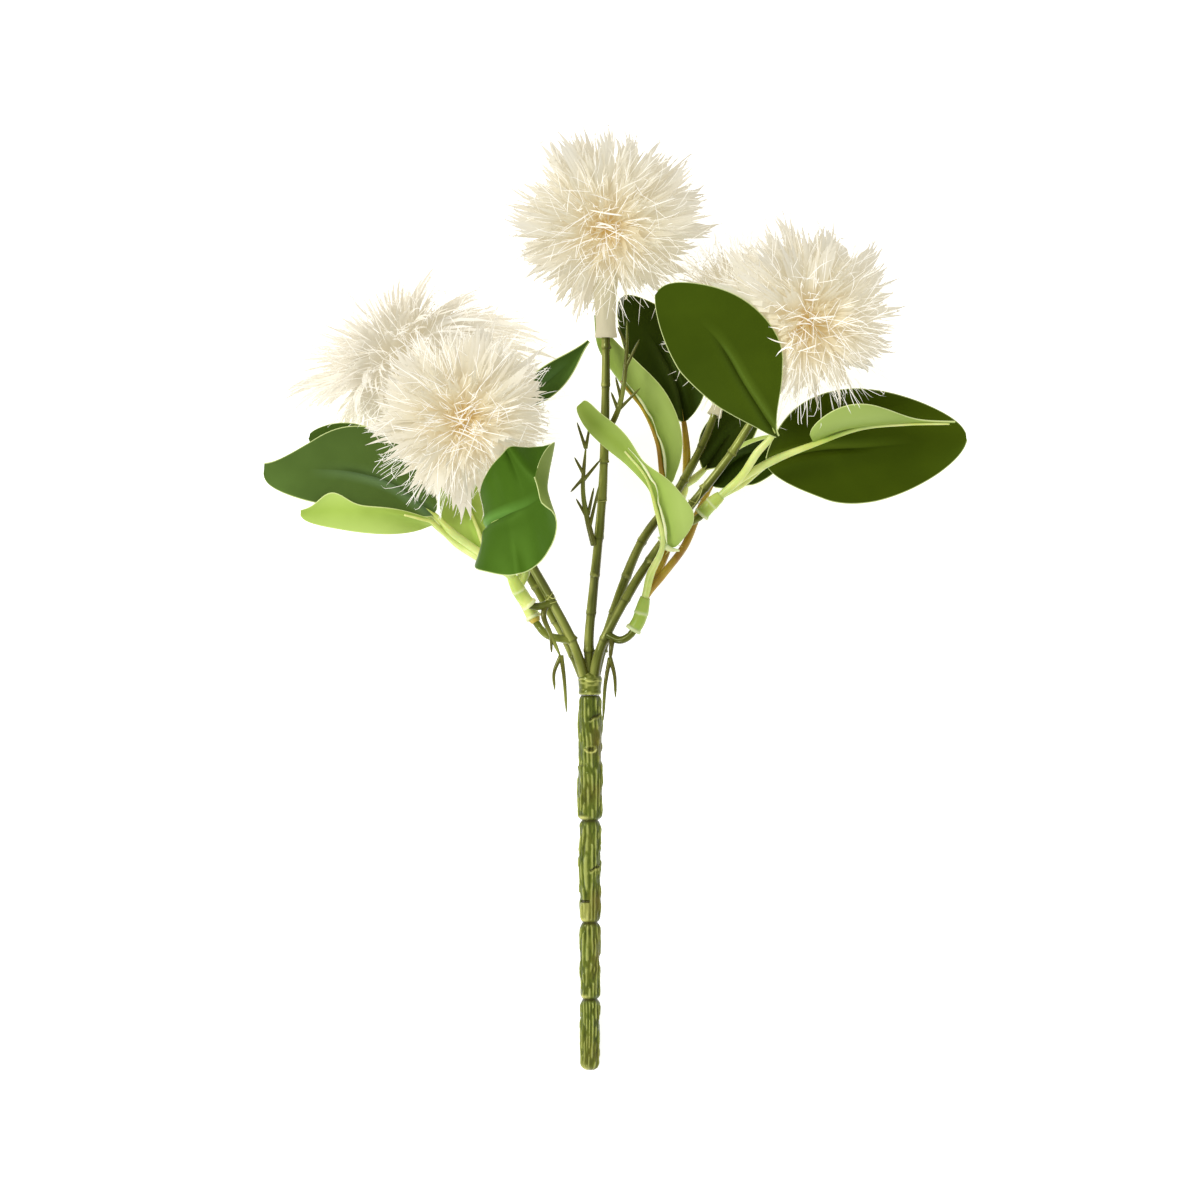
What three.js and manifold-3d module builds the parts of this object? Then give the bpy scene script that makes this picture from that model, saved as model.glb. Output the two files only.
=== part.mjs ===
// An artificial melaleuca stem, in millimetres: a moulded stem that forks into five branches, five
// flower heads of cut fabric strips, and fourteen fabric leaves on moulded stalks.
// The plant is drawn upright in its own frame, with X to the right, Y up the stem and Z out of its
// face. It is then laid on its back on the surface z = 0, where it rests on the foot of the stem and
// on the two rear flower heads.
import * as THREE from "three";
import { mergeVertices } from "three/addons/utils/BufferGeometryUtils.js";
import Module from "manifold-3d";

const wasm = await Module();
wasm.setup();

// Driving sizes
const LEAN = THREE.MathUtils.degToRad(10.8); // rise of the stem from its foot to the heads
const CLEARANCE = 0.3; // between two pieces that touch
const STEM_JOINTS = [28.5, 59.5, 100.5, 125, 150]; // heights of the narrow rings up the stem
const STEM_RADII = [3.8, 3.9, 4.5, 4.9, 4.4]; // of the stretch below each ring
const JOINT_DEPTH = 0.5; // of a narrow ring
const JOINT_SLOPE = 1.4; // length over which the stem narrows to it
const STEM_RIDGES = 9;
const RIDGE_DEPTH = 0.35;
const PEG_RADIUS = 1.9; // of the fork, in the socket at the stem's top
const PEG_LENGTH = 8;
const COLLAR_TOP = 157.5;
const COLLAR_RADIUS = 4.5;
const BRANCH_RADIUS = 1.8;
const NODE_SPACING = 16; // between the raised rings on a branch
const NODE_RISE = 0.35;
const NODE_SLOPE = 1.2; // length over which a branch thickens to its ring
const STUB_RADIUS = 1.5;
const SLEEVE_RADIUS = 2.7; // of a leaf stalk's mouth
const SLEEVE_DEPTH = 5; // of stub inside a leaf stalk
const FORK_RADIUS = 1.6; // where a leaf stalk divides
const STALK_RADIUS = 1.25;
const RIB_TIP_RADIUS = 0.45;
const RIB_DROP = 0.5; // of the rib's middle line, past the clearance below its leaf
const RIB_PLACES = [0.04, 0.2, 0.4, 0.62]; // shares of the leaf's length
const LEAF_THICKNESS = 0.8;
const LEAF_BASE_BREADTH = 1.4;
const LEAF_FULLNESS = 0.72; // lower makes the outline blunter
const LEAF_SKEW = 0.85; // under 1 moves the widest place towards the tip
const LEAF_ENDS = [0.012, 0.985]; // shares of the midline where the blade starts and ends
const LEAF_GRID = [8, 4]; // faces along and across
const HEAD_RADIUS = 39;
const HEAD_CORE = 13;
const HEAD_STRIPS = 80;
const STRIP_FAN = [16, 152]; // degrees from the way a head faces to its first and last strips
const STRIP_WIDTH = 5.2;
const STRIP_THICKNESS = 1;
const BELLY_PLACE = 0.6; // share of a strip's reach where it is widest
const SPREAD_OF_REACH = [0.9, 1.05];
const CALYX_RADIUS = 3.9;
const CALYX_FLARE = 5; // from its mouth to the head
const CALYX_GAP = 0.4; // half the cone, in radians, kept free of strips round the tube
const TIP_IN_CALYX = 10; // length of branch inside the flower head's tube

const up = new THREE.Vector3(0, Math.sin(LEAN), Math.cos(LEAN)); // away from the surface it lies on
const vector = (p) => new THREE.Vector3(...p);
const lerp = THREE.MathUtils.lerp;

// Routes, in the plant's own frame, from the neck outwards
const branches = {
  top: [[0, 152, -0.5], [0.8, 188, -1], [1.6, 212, -1], [4, 236, -1], [6, 276, 0], [6, 303, 0]],
  leftFront: [[-1, 153, 1], [-6, 169, 2.5], [-16, 189, 6], [-27, 209, 11], [-40, 236, 19], [-46, 249, 22]],
  leftRear: [[-1, 153, -1.5], [-8, 169, -3], [-18, 187, -7], [-33, 212, -13], [-53, 247, -21], [-62, 263, -23]],
  rightFront: [[1, 153, 1.2], [4, 168, 2.4], [20, 198, 5], [35, 219, 7], [56, 246, 11], [71, 270, 15]],
  rightRear: [[1, 153, -1.5], [6, 172, -3], [20, 210, -8], [34, 230, -14], [46, 252, -20], [53, 270, -24]],
};
const stubs = {
  leftUpper: [[-15, 187, 5.5], [-20, 185.5, 7.5], [-24, 186, 8.5], [-27, 189.5, 9.5]],
  leftLower: [[-8, 172, 3], [-17, 174, 3.5], [-21.5, 179, 2], [-24.5, 185, 1]],
  rightLower: [[7, 174, 3.5], [12, 172, 6.5], [16, 174, 8], [19.5, 180, 8.5]],
  rightUpper: [[33, 217, 6.5], [40, 219, 9.5], [43.5, 221, 10.5], [47.5, 225.5, 11.5]],
  rear: [[27, 220, -11], [30.5, 222, -15], [33, 225, -17.5], [36, 230, -19]],
};
const twigs = [
  { root: [[-17, 187, 6], [-18.5, 182, 8], [-15.5, 174, 8.5], [-11.5, 165, 8.5]], radius: 0.8 },
  { root: [[-15.5, 174, 8.5], [-15.3, 167, 9]], radius: 0.5 },
  { root: [[-11.5, 166, 8.5], [-14.3, 159, 9], [-14, 152, 9]], radius: 0.6 },
  { root: [[-11.5, 166, 8.5], [-10.3, 157, 8], [-9.3, 143, 8]], radius: 0.6 },
  { root: [[9, 173.5, 4.5], [8.5, 169, 7], [8, 164, 7]], radius: 0.8 },
  { root: [[8, 165, 7], [9.8, 158, 8], [10.2, 149, 8]], radius: 0.6 },
  { root: [[8, 165, 7], [6.2, 155, 7.5], [5.2, 139.5, 7.5]], radius: 0.6 },
  { root: [[1.5, 210, 0], [-1.2, 221, 3], [-2.8, 232, 4], [-1.6, 250, 4]], radius: 0.8 },
  { root: [[-1.2, 221, 3], [-5.6, 228.5, 4]], radius: 0.5 },
  { root: [[-0.8, 222, 3], [1.6, 233, 5]], radius: 0.5 },
  { root: [[0, 218, 2.5], [4, 235, 5]], radius: 0.5 },
  { root: [[-2.4, 238, 4], [-6.2, 245, 5]], radius: 0.5 },
  { root: [[-2.4, 237, 4], [-7.8, 231, 5]], radius: 0.5 },
  { root: [[-2.4, 236, 4], [4.2, 244, 5.5]], radius: 0.5 },
  { root: [[-1.7, 248.5, 4], [-5.2, 259, 5]], radius: 0.5 },
  { root: [[-1.7, 248.5, 4], [0, 258, 5]], radius: 0.5 },
  { root: [[6, 253, 0], [11.6, 265, 4.5], [14.4, 283, 5], [14.8, 300, 5]], radius: 0.8 },
  { root: [[11.2, 264, 4.5], [8.4, 271, 5]], radius: 0.5 },
  { root: [[12.6, 267.5, 5], [10.2, 277, 6]], radius: 0.5 },
  { root: [[10.5, 263, 4], [20, 272.5, 6]], radius: 0.5 },
  { root: [[14.3, 281, 5], [19.8, 292, 6]], radius: 0.5 },
  { root: [[14.4, 290, 5], [11, 297, 5]], radius: 0.5 },
];

// Leaves: the midline from base to tip, the widest breadth, the way across the leaf to its right
// edge at even steps from base to tip, and how far each half curls towards the dark face, in
// radians, at the base and at the tip. The dark face looks along across x midline.
const leaves = {
  leaf_right_top: {
    line: [[74.5, 252, 24], [61.5, 271.5, 33], [48.5, 291.5, 39], [26, 308.5, 38]],
    breadth: 38, across: [[1, 0.2, 0], [0.45, 0.9, 0]], left: [0.25, 0.1], right: [0.25, 0.1],
  },
  leaf_right_outer: {
    line: [[70, 242.5, 6], [90, 247.5, 2], [112, 249, 0], [134, 251, 1], [150.5, 253, 3]],
    breadth: 44, across: [[0.1, -1, 0], [0.1, -1, 0]], left: [0.4, 0.1], right: [0.3, 0.1],
  },
  leaf_right_arched: {
    line: [[88, 251, 17], [101, 255.5, 18], [116, 257.5, 18], [130, 258.5, 17], [145, 258.5, 16]],
    breadth: 32, across: [[0, 0.15, 1], [0, 0.1, 1]], left: [0.8, 0.3], right: [1.1, 0.5],
  },
  leaf_right_shaded: {
    line: [[49, 234, -5], [58, 243.5, -9], [69, 249, -10], [86, 253, -10]],
    breadth: 25, across: [[-0.6, 0.7, 0.15], [-0.3, 0.9, 0.2]], left: [0.5, 0.2], right: [0.5, 0.2],
  },
  leaf_middle_twisted: {
    line: [[31, 210, 19], [28.5, 221, 24], [25.5, 232, 25], [10, 251, 18], [0, 259, 15], [-4.5, 266, 13]],
    breadth: 26, across: [[-0.66, -0.1, -0.75], [-0.25, -0.1, -0.96], [-0.5, -0.4, -0.75]],
    left: [1.2, 0.3], right: [1.2, 0.3],
  },
  leaf_middle_curved: {
    line: [[31, 234, -6], [28.5, 251, -8], [22, 264.5, -10], [13, 276, -11], [2, 294.5, -9]],
    breadth: 25, across: [[-0.6, -0.1, -0.8], [-0.6, -0.35, -0.7]], left: [1.2, 0.4], right: [1.6, 1],
  },
  leaf_top_rear: {
    line: [[38, 260, -19], [35, 275, -21], [27, 291, -25], [13, 311, -28]],
    breadth: 29, across: [[1, 0.1, 0], [0.85, 0.5, 0]], left: [0.3, 0.1], right: [0.3, 0.1],
  },
  leaf_left_rear: {
    line: [[-33, 264, -9], [-23, 271, -8], [-11, 279, -7], [-0.5, 292, -6]],
    breadth: 15, across: [[0.7, -0.7, 0], [0.8, -0.6, 0]], left: [0.3, 0.3], right: [0.3, 0.3],
  },
  leaf_left_outer: {
    line: [[-62, 222, 8], [-78, 234, 9], [-94, 239, 10], [-112, 240.5, 9], [-130, 242, 6]],
    breadth: 38, across: [[0.6, 0.8, 0], [0.05, 1, 0]], left: [2, 0.1], right: [0.3, 0.1],
  },
  leaf_left_low: {
    line: [[-62, 219, -1], [-78, 226, -4], [-97, 229, -5], [-115, 224.5, -4]],
    breadth: 29, across: [[-0.4, -0.9, 0], [0.1, -1, 0]], left: [0.2, 0.1], right: [0.2, 0.1],
  },
  leaf_left_upper: {
    line: [[-70, 228, -9], [-84, 237, -10], [-98, 243.5, -11], [-112, 249.5, -12]],
    breadth: 25, across: [[0.6, 0.8, 0], [0.3, 0.95, 0]], left: [0.2, 0.1], right: [0.3, 0.1],
  },
  leaf_left_inner: {
    line: [[-41, 207, 3], [-46, 219, -1], [-51, 232, -8], [-54, 243, -14]],
    breadth: 24, across: [[-0.9, -0.4, 0], [-0.95, -0.3, 0]], left: [0.2, 0.1], right: [0.2, 0.1],
  },
  leaf_left_front: {
    line: [[-40, 214, 30], [-41, 217, 41], [-33, 221, 49], [-23, 225, 54], [-17, 228, 60], [-23, 232, 68]],
    breadth: 49, across: [[0.2, -1, 0], [-0.1, -1, 0]], left: [0.2, 0.1], right: [0.2, 0.1],
  },
  leaf_right_rear: {
    line: [[46, 241, -22.5], [53, 251, -26], [61, 261, -29], [69, 270, -32]],
    breadth: 20, across: [[-0.75, 0.45, -0.15], [-0.75, 0.45, -0.15]], left: [0.5, 0.2], right: [0.5, 0.2],
  },
};

// Leaf stalks: each starts as a sleeve on its stub and forks to the bases of its leaves
const stalks = {
  stalk_left_upper: {
    stub: "leftUpper",
    fork: [-31, 197, 12],
    arms: {
      leaf_left_outer: [[-42, 205.5, 12], [-55, 215, 9]],
      leaf_left_low: [[-43, 204, 10], [-53, 210.5, 7]],
      leaf_left_upper: [[-43, 205, 9], [-54, 212, 5.5], [-65, 221.5, -4]],
    },
  },
  stalk_left_lower: {
    stub: "leftLower",
    fork: [-28, 192.5, 1],
    arms: {
      leaf_left_inner: [[-34, 200, 1.5]],
      leaf_left_front: [[-25.5, 199, 4], [-28, 206.5, 16], [-35, 211, 24]],
      leaf_left_rear: [[-25, 212, -4], [-30, 240, -10], [-35, 256, -11]],
    },
  },
  stalk_right_lower: {
    stub: "rightLower",
    fork: [22, 189, 10],
    arms: {
      leaf_middle_twisted: [[24, 198, 15]],
      leaf_middle_curved: [[27, 199, 6], [32, 212, 0], [33, 226, -5]],
      leaf_right_shaded: [[29, 198, 9.5], [38, 210, 2], [43, 222, -3]],
    },
  },
  stalk_right_upper: {
    stub: "rightUpper",
    fork: [52, 229.5, 12.5],
    arms: {
      leaf_right_arched: [[60, 236, 14], [73, 243.5, 15.5]],
      leaf_right_outer: [[60, 234, 9.5]],
      leaf_right_top: [[60, 237, 16], [66, 246, 20]],
    },
  },
  stalk_rear: {
    stub: "rear",
    fork: [38, 234, -19.5],
    arms: {
      leaf_right_rear: [[42, 237, -21]],
      leaf_top_rear: [[39, 247, -19.5]],
    },
  },
};

// Flower heads: the middle of the head, the way it faces, and the branch that carries it
const heads = {
  bloom_top: { middle: [6, 339.5, -6], facing: [0.1, -0.1, 1], branch: "top" },
  bloom_left_front: { middle: [-49, 258.5, 31], facing: [-0.05, 0, 1], branch: "leftFront" },
  bloom_left_rear: { middle: [-75.5, 286, -25], facing: [-0.6, 0.6, 0.2], branch: "leftRear" },
  bloom_right_front: { middle: [85, 299.5, 26], facing: [0.08, -0.05, 1], branch: "rightFront" },
  bloom_right_rear: { middle: [62, 299, -27], facing: [-0.2, 0.8, 0.3], branch: "rightRear" },
};
const restingHeads = ["bloom_left_rear", "bloom_right_rear"];

// Numbers between 0 and 1 that are the same on every run
function seeded(seed) {
  let state = seed;
  return () => {
    state = (state * 1664525 + 1013904223) % 4294967296;
    return state / 4294967296;
  };
}

// A closed skin over rings of equal number of points; an end ring of one point makes a sharp tip.
function skin(rings) {
  const sides = Math.max(...rings.map((ring) => ring.length));
  const points = [];
  const index = [];
  const start = rings.map((ring) => points.push(...ring) - ring.length);
  const at = (i, k) => start[i] + (rings[i].length === 1 ? 0 : k % sides);
  const cap = (i, turned) => {
    if (rings[i].length === 1) return;
    for (let k = 1; k < sides - 1; k++) {
      index.push(at(i, 0), at(i, turned ? k + 1 : k), at(i, turned ? k : k + 1));
    }
  };
  cap(0, true);
  for (let i = 0; i < rings.length - 1; i++) {
    for (let k = 0; k < sides; k++) {
      if (rings[i].length > 1) index.push(at(i, k), at(i, k + 1), at(i + 1, k + 1));
      if (rings[i + 1].length > 1) index.push(at(i, k), at(i + 1, k + 1), at(i + 1, k));
    }
  }
  cap(rings.length - 1, false);
  return new THREE.BufferGeometry().setFromPoints(points).setIndex(index);
}

// A round rod along a smooth route. stations lists [distance along it as a share, radius].
function rod(route, stations, sides) {
  const curve = new THREE.CatmullRomCurve3(route.map(vector), false, "centripetal");
  const steps = 60;
  const frames = curve.computeFrenetFrames(steps, false);
  const rings = stations.map(([share, radius]) => {
    const middle = curve.getPointAt(share);
    const i = Math.round(share * steps);
    return Array.from({ length: radius > 0 ? sides : 1 }, (_, k) => {
      const turn = (2 * Math.PI * k) / sides;
      return middle
        .clone()
        .addScaledVector(frames.normals[i], radius * Math.cos(turn))
        .addScaledVector(frames.binormals[i], radius * Math.sin(turn));
    });
  });
  return skin(rings);
}

function routeLength(route) {
  return new THREE.CatmullRomCurve3(route.map(vector), false, "centripetal").getLength();
}

function solid(geometry) {
  const shape = geometry.clone();
  shape.deleteAttribute("normal");
  shape.deleteAttribute("uv");
  const merged = mergeVertices(shape, 1e-4);
  return new wasm.Manifold(
    new wasm.Mesh({
      numProp: 3,
      vertProperties: merged.attributes.position.array,
      triVerts: new Uint32Array(merged.index.array),
    }),
  );
}

function joined(geometries) {
  return geometries.map(solid).reduce((whole, piece) => whole.add(piece));
}

// The largest body of a solid, without the scraps that a cut leaves loose.
function mainBody(shape) {
  return shape.decompose().reduce((a, b) => (a.volume() > b.volume() ? a : b));
}

function geometryOf(shape) {
  const mesh = shape.getMesh();
  return new THREE.BufferGeometry()
    .setAttribute("position", new THREE.BufferAttribute(mesh.vertProperties, 3))
    .setIndex(new THREE.BufferAttribute(mesh.triVerts, 1));
}

// The stem: a turned profile with a rounded foot and narrow rings, its bark raised in long ridges.
function mainStem() {
  const foot = STEM_RADII[0];
  const profile = [[0, -0.3], [0.58 * foot, 0], [0.87 * foot, 1]];
  let below = 2;
  STEM_JOINTS.forEach((height, i) => {
    const radius = STEM_RADII[i];
    profile.push([radius, below + JOINT_SLOPE], [radius + 0.1, lerp(below, height, 0.5)]);
    profile.push([radius, height - JOINT_SLOPE], [radius - JOINT_DEPTH, height]);
    below = height;
  });
  const socket = PEG_RADIUS + CLEARANCE;
  const floor = below - PEG_LENGTH - 1;
  profile.push([socket, below], [socket, floor], [0, floor]);
  const turned = new THREE.LatheGeometry(
    profile.map(([r, y]) => new THREE.Vector2(r, y)),
    2 * STEM_RIDGES,
  );
  const place = turned.attributes.position;
  for (let i = 0; i < place.count; i++) {
    const radius = Math.hypot(place.getX(i), place.getZ(i));
    if (radius < foot - CLEARANCE) continue; // the socket and the foot's tip stay round
    const turn = Math.atan2(place.getX(i), place.getZ(i));
    const ridge = 1 + (RIDGE_DEPTH * (Math.cos(STEM_RIDGES * turn) - 1)) / (2 * radius);
    place.setXYZ(i, place.getX(i) * ridge, place.getY(i), place.getZ(i) * ridge);
  }
  return geometryOf(solid(turned));
}

// A branch: a slim rod with a raised ring at every node. grow thickens it, for what fits round it.
function branchRod(route, grow) {
  const length = routeLength(route);
  const radius = BRANCH_RADIUS + grow;
  const stations = [[0, radius]];
  for (let at = NODE_SPACING; at < length - TIP_IN_CALYX - 2 * NODE_SLOPE; at += NODE_SPACING) {
    stations.push([(at - NODE_SLOPE) / length, radius], [at / length, radius + NODE_RISE]);
    stations.push([(at + NODE_SLOPE) / length, radius]);
  }
  stations.push([1, radius - 0.2]);
  return rod(route, stations, 7);
}

// A twig or one of its needles, which tapers to a blunt tip. A straight needle needs fewer stations.
function taperedTwig({ root, radius }, grow) {
  const tip = [1, Math.max(grow, 0.15)];
  const stations = [[0, radius + grow], [0.35, radius * 0.9 + grow]];
  if (root.length > 2) stations.push([0.75, radius * 0.75 + grow]);
  return rod(root, [...stations, tip], 3);
}

// The fork: one moulding of the collar with its peg, the branches, the stubs and the needle twigs.
function stemFork(grow) {
  const neck = STEM_JOINTS[STEM_JOINTS.length - 1] + CLEARANCE;
  const collar = [[0, neck - PEG_LENGTH], [PEG_RADIUS, neck - PEG_LENGTH], [PEG_RADIUS, neck]];
  collar.push([COLLAR_RADIUS - 0.6, neck], [COLLAR_RADIUS, COLLAR_TOP - 1.5]);
  collar.push([COLLAR_RADIUS - 0.3, COLLAR_TOP], [3, COLLAR_TOP + 1.5], [0, COLLAR_TOP + 2]);
  const turned = new THREE.LatheGeometry(collar.map(([r, y]) => new THREE.Vector2(r, y)), 14);
  const rods = Object.values(branches).map((route) => branchRod(route, grow));
  const arms = Object.values(stubs).map((route) =>
    rod(route, [[0, STUB_RADIUS], [0.4, STUB_RADIUS], [0.7, STUB_RADIUS], [1, 1.3]].map(
      ([share, radius]) => [share, radius + grow],
    ), 8),
  );
  return joined([turned, ...rods, ...arms, ...twigs.map((twig) => taperedTwig(twig, grow))]);
}

// The vector at share u of a list of evenly spaced ones
function steppedVector(list, u) {
  const place = u * (list.length - 1);
  const step = Math.min(Math.floor(place), list.length - 2);
  return vector(list[step]).lerp(vector(list[step + 1]), place - step);
}

function leafFrame(leaf, u) {
  const curve = new THREE.CatmullRomCurve3(leaf.line.map(vector), false, "centripetal");
  const along = curve.getTangentAt(u);
  const across = steppedVector(leaf.across, u);
  const normal = new THREE.Vector3().crossVectors(across, along).normalize();
  const side = new THREE.Vector3().crossVectors(along, normal);
  return { middle: curve.getPointAt(u), side, normal };
}

function leafHalfBreadth(leaf, u) {
  const rise = Math.sin(Math.PI * u ** LEAF_SKEW) ** LEAF_FULLNESS;
  return lerp(LEAF_BASE_BREADTH, leaf.breadth, rise) / 2;
}

// A point of a leaf's middle surface, u from base to tip and v from the left edge to the right one:
// the midline, carried sideways along an arc that curls towards the dark face.
function leafPoint(leaf, u, v) {
  const { middle, side, normal } = leafFrame(leaf, u);
  const curl = v < 0 ? lerp(...leaf.left, u) : lerp(...leaf.right, u);
  const reach = leafHalfBreadth(leaf, u) / curl;
  const turn = curl * Math.abs(v);
  return middle
    .addScaledVector(side, Math.sign(v) * reach * Math.sin(turn))
    .addScaledVector(normal, reach * (1 - Math.cos(turn)));
}

// A leaf blade: the same grid of triangles on both faces, joined round the edge.
function leafBlade(leaf, grow) {
  const [rows, columns] = LEAF_GRID;
  const half = LEAF_THICKNESS / 2 + grow;
  const edge = 1e-3;
  const points = [];
  for (const face of [1, -1]) {
    for (let i = 0; i <= rows; i++) {
      for (let j = 0; j <= columns; j++) {
        const u = lerp(...LEAF_ENDS, i / rows);
        const v = (2 * j) / columns - 1;
        const across = leafPoint(leaf, u, v + edge).sub(leafPoint(leaf, u, v - edge)).normalize();
        const along = leafPoint(leaf, u + edge, v).sub(leafPoint(leaf, u - edge, v)).normalize();
        const normal = new THREE.Vector3().crossVectors(across, along).normalize();
        const point = leafPoint(leaf, u, v).addScaledVector(normal, face * half);
        if (j === 0 || j === columns) point.addScaledVector(across, v * grow);
        if (i === 0 || i === rows) point.addScaledVector(along, i === 0 ? -grow : grow);
        points.push(point);
      }
    }
  }
  const layer = (rows + 1) * (columns + 1);
  const at = (i, j, below) => i * (columns + 1) + j + (below ? layer : 0);
  const index = [];
  for (let i = 0; i < rows; i++) {
    for (let j = 0; j < columns; j++) {
      index.push(at(i, j), at(i, j + 1), at(i + 1, j + 1), at(i, j), at(i + 1, j + 1), at(i + 1, j));
      index.push(at(i, j, 1), at(i + 1, j + 1, 1), at(i, j + 1, 1));
      index.push(at(i, j, 1), at(i + 1, j, 1), at(i + 1, j + 1, 1));
    }
  }
  const rim = [];
  for (let j = 0; j < columns; j++) rim.push([0, j]);
  for (let i = 0; i < rows; i++) rim.push([i, columns]);
  for (let j = columns; j > 0; j--) rim.push([rows, j]);
  for (let i = rows; i > 0; i--) rim.push([i, 0]);
  rim.forEach(([i, j], n) => {
    const [k, l] = rim[(n + 1) % rim.length];
    index.push(at(i, j), at(k, l, 1), at(k, l), at(i, j), at(i, j, 1), at(k, l, 1));
  });
  return new THREE.BufferGeometry().setFromPoints(points).setIndex(index);
}

// A leaf stalk: a sleeve round the stub's end, then an arm to each leaf that runs on as its midrib.
function leafStalk({ stub, fork, arms }) {
  const end = stubs[stub][3];
  const before = stubs[stub][2];
  const axis = vector(end).sub(vector(before)).normalize();
  const mouth = vector(end).addScaledVector(axis, -SLEEVE_DEPTH).toArray();
  const sleeve = rod(
    [mouth, end, fork],
    [[0, SLEEVE_RADIUS], [0.1, SLEEVE_RADIUS - 0.4], [0.6, FORK_RADIUS + 0.5], [1, FORK_RADIUS]],
    8,
  );
  const rods = Object.entries(arms).map(([name, route]) => {
    const leaf = leaves[name];
    const below = LEAF_THICKNESS / 2 + CLEARANCE + RIB_DROP;
    const rib = RIB_PLACES.map((u) => {
      const { middle, normal } = leafFrame(leaf, u);
      return middle.addScaledVector(normal, -below).toArray();
    });
    const whole = [end, fork, ...route, ...rib];
    const armShare = routeLength([end, fork, ...route]) / routeLength(whole);
    const stations = [0, 0.35, 0.7, 1].map((share) => [share * armShare, STALK_RADIUS]);
    for (const share of [0.3, 0.65, 1]) {
      stations.push([lerp(armShare, 1, share), lerp(STALK_RADIUS, RIB_TIP_RADIUS, share)]);
    }
    return rod(whole, stations, 5);
  });
  return joined([sleeve, ...rods]);
}

const stemGeometry = mainStem();
const stemPlaces = stemGeometry.attributes.position;
let lift = 0; // raises the plant's own origin until the foot of the stem just touches the surface
for (let i = 0; i < stemPlaces.count; i++) {
  lift = Math.max(lift, -new THREE.Vector3().fromBufferAttribute(stemPlaces, i).dot(up));
}
const heightOf = (point) => point.dot(up) + lift;

// Moves a point of a head's strip clear of the surface and out of the other heads' halves.
function settled(point, name, margin) {
  const middle = vector(heads[name].middle);
  for (const [other, head] of Object.entries(heads)) {
    if (other === name) continue;
    const between = middle.clone().lerp(vector(head.middle), 0.5);
    const towards = vector(head.middle).sub(middle).normalize();
    const over = point.clone().sub(between).dot(towards) + margin;
    if (over > 0) point.addScaledVector(towards, -over);
  }
  const short = margin - heightOf(point);
  if (short > 0) point.addScaledVector(up, short);
  return point;
}

// One strip: a three-sided blade that widens from its root to its belly and ends in a sharp tip.
function strip(root, belly, tip, side) {
  const along = tip.clone().sub(root).normalize();
  const across = side.clone().addScaledVector(along, -side.dot(along)).normalize();
  const right = belly.clone().addScaledVector(across, STRIP_WIDTH / 2);
  const left = belly.clone().addScaledVector(across, -STRIP_WIDTH / 2);
  const back = belly.clone().addScaledVector(along.cross(across), STRIP_THICKNESS);
  return skin([[root], [right, back, left], [tip]]);
}

// A strip that reaches down from a rear head and lies flat on the surface for its last stretch.
function restingStrip(middle, facing) {
  const out = new THREE.Vector3().crossVectors(up, new THREE.Vector3().crossVectors(facing, up));
  out.normalize();
  const across = new THREE.Vector3().crossVectors(up, out).normalize();
  const ring = (reach, height, width) => {
    const below = middle.clone().addScaledVector(out, reach);
    below.addScaledVector(up, height - heightOf(below));
    const corners = [[-1, 0], [1, 0], [1, 1], [-1, 1]];
    return corners.map(([s, t]) =>
      below
        .clone()
        .addScaledVector(across, (s * width) / 2)
        .addScaledVector(up, t * STRIP_THICKNESS),
    );
  };
  const inCore = heightOf(middle) - HEAD_CORE + 4;
  const width = 7;
  return skin([ring(-9, inCore, 3), ring(-3, 0, width), ring(9, 0, width), ring(14, 1, 1)]);
}

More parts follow.
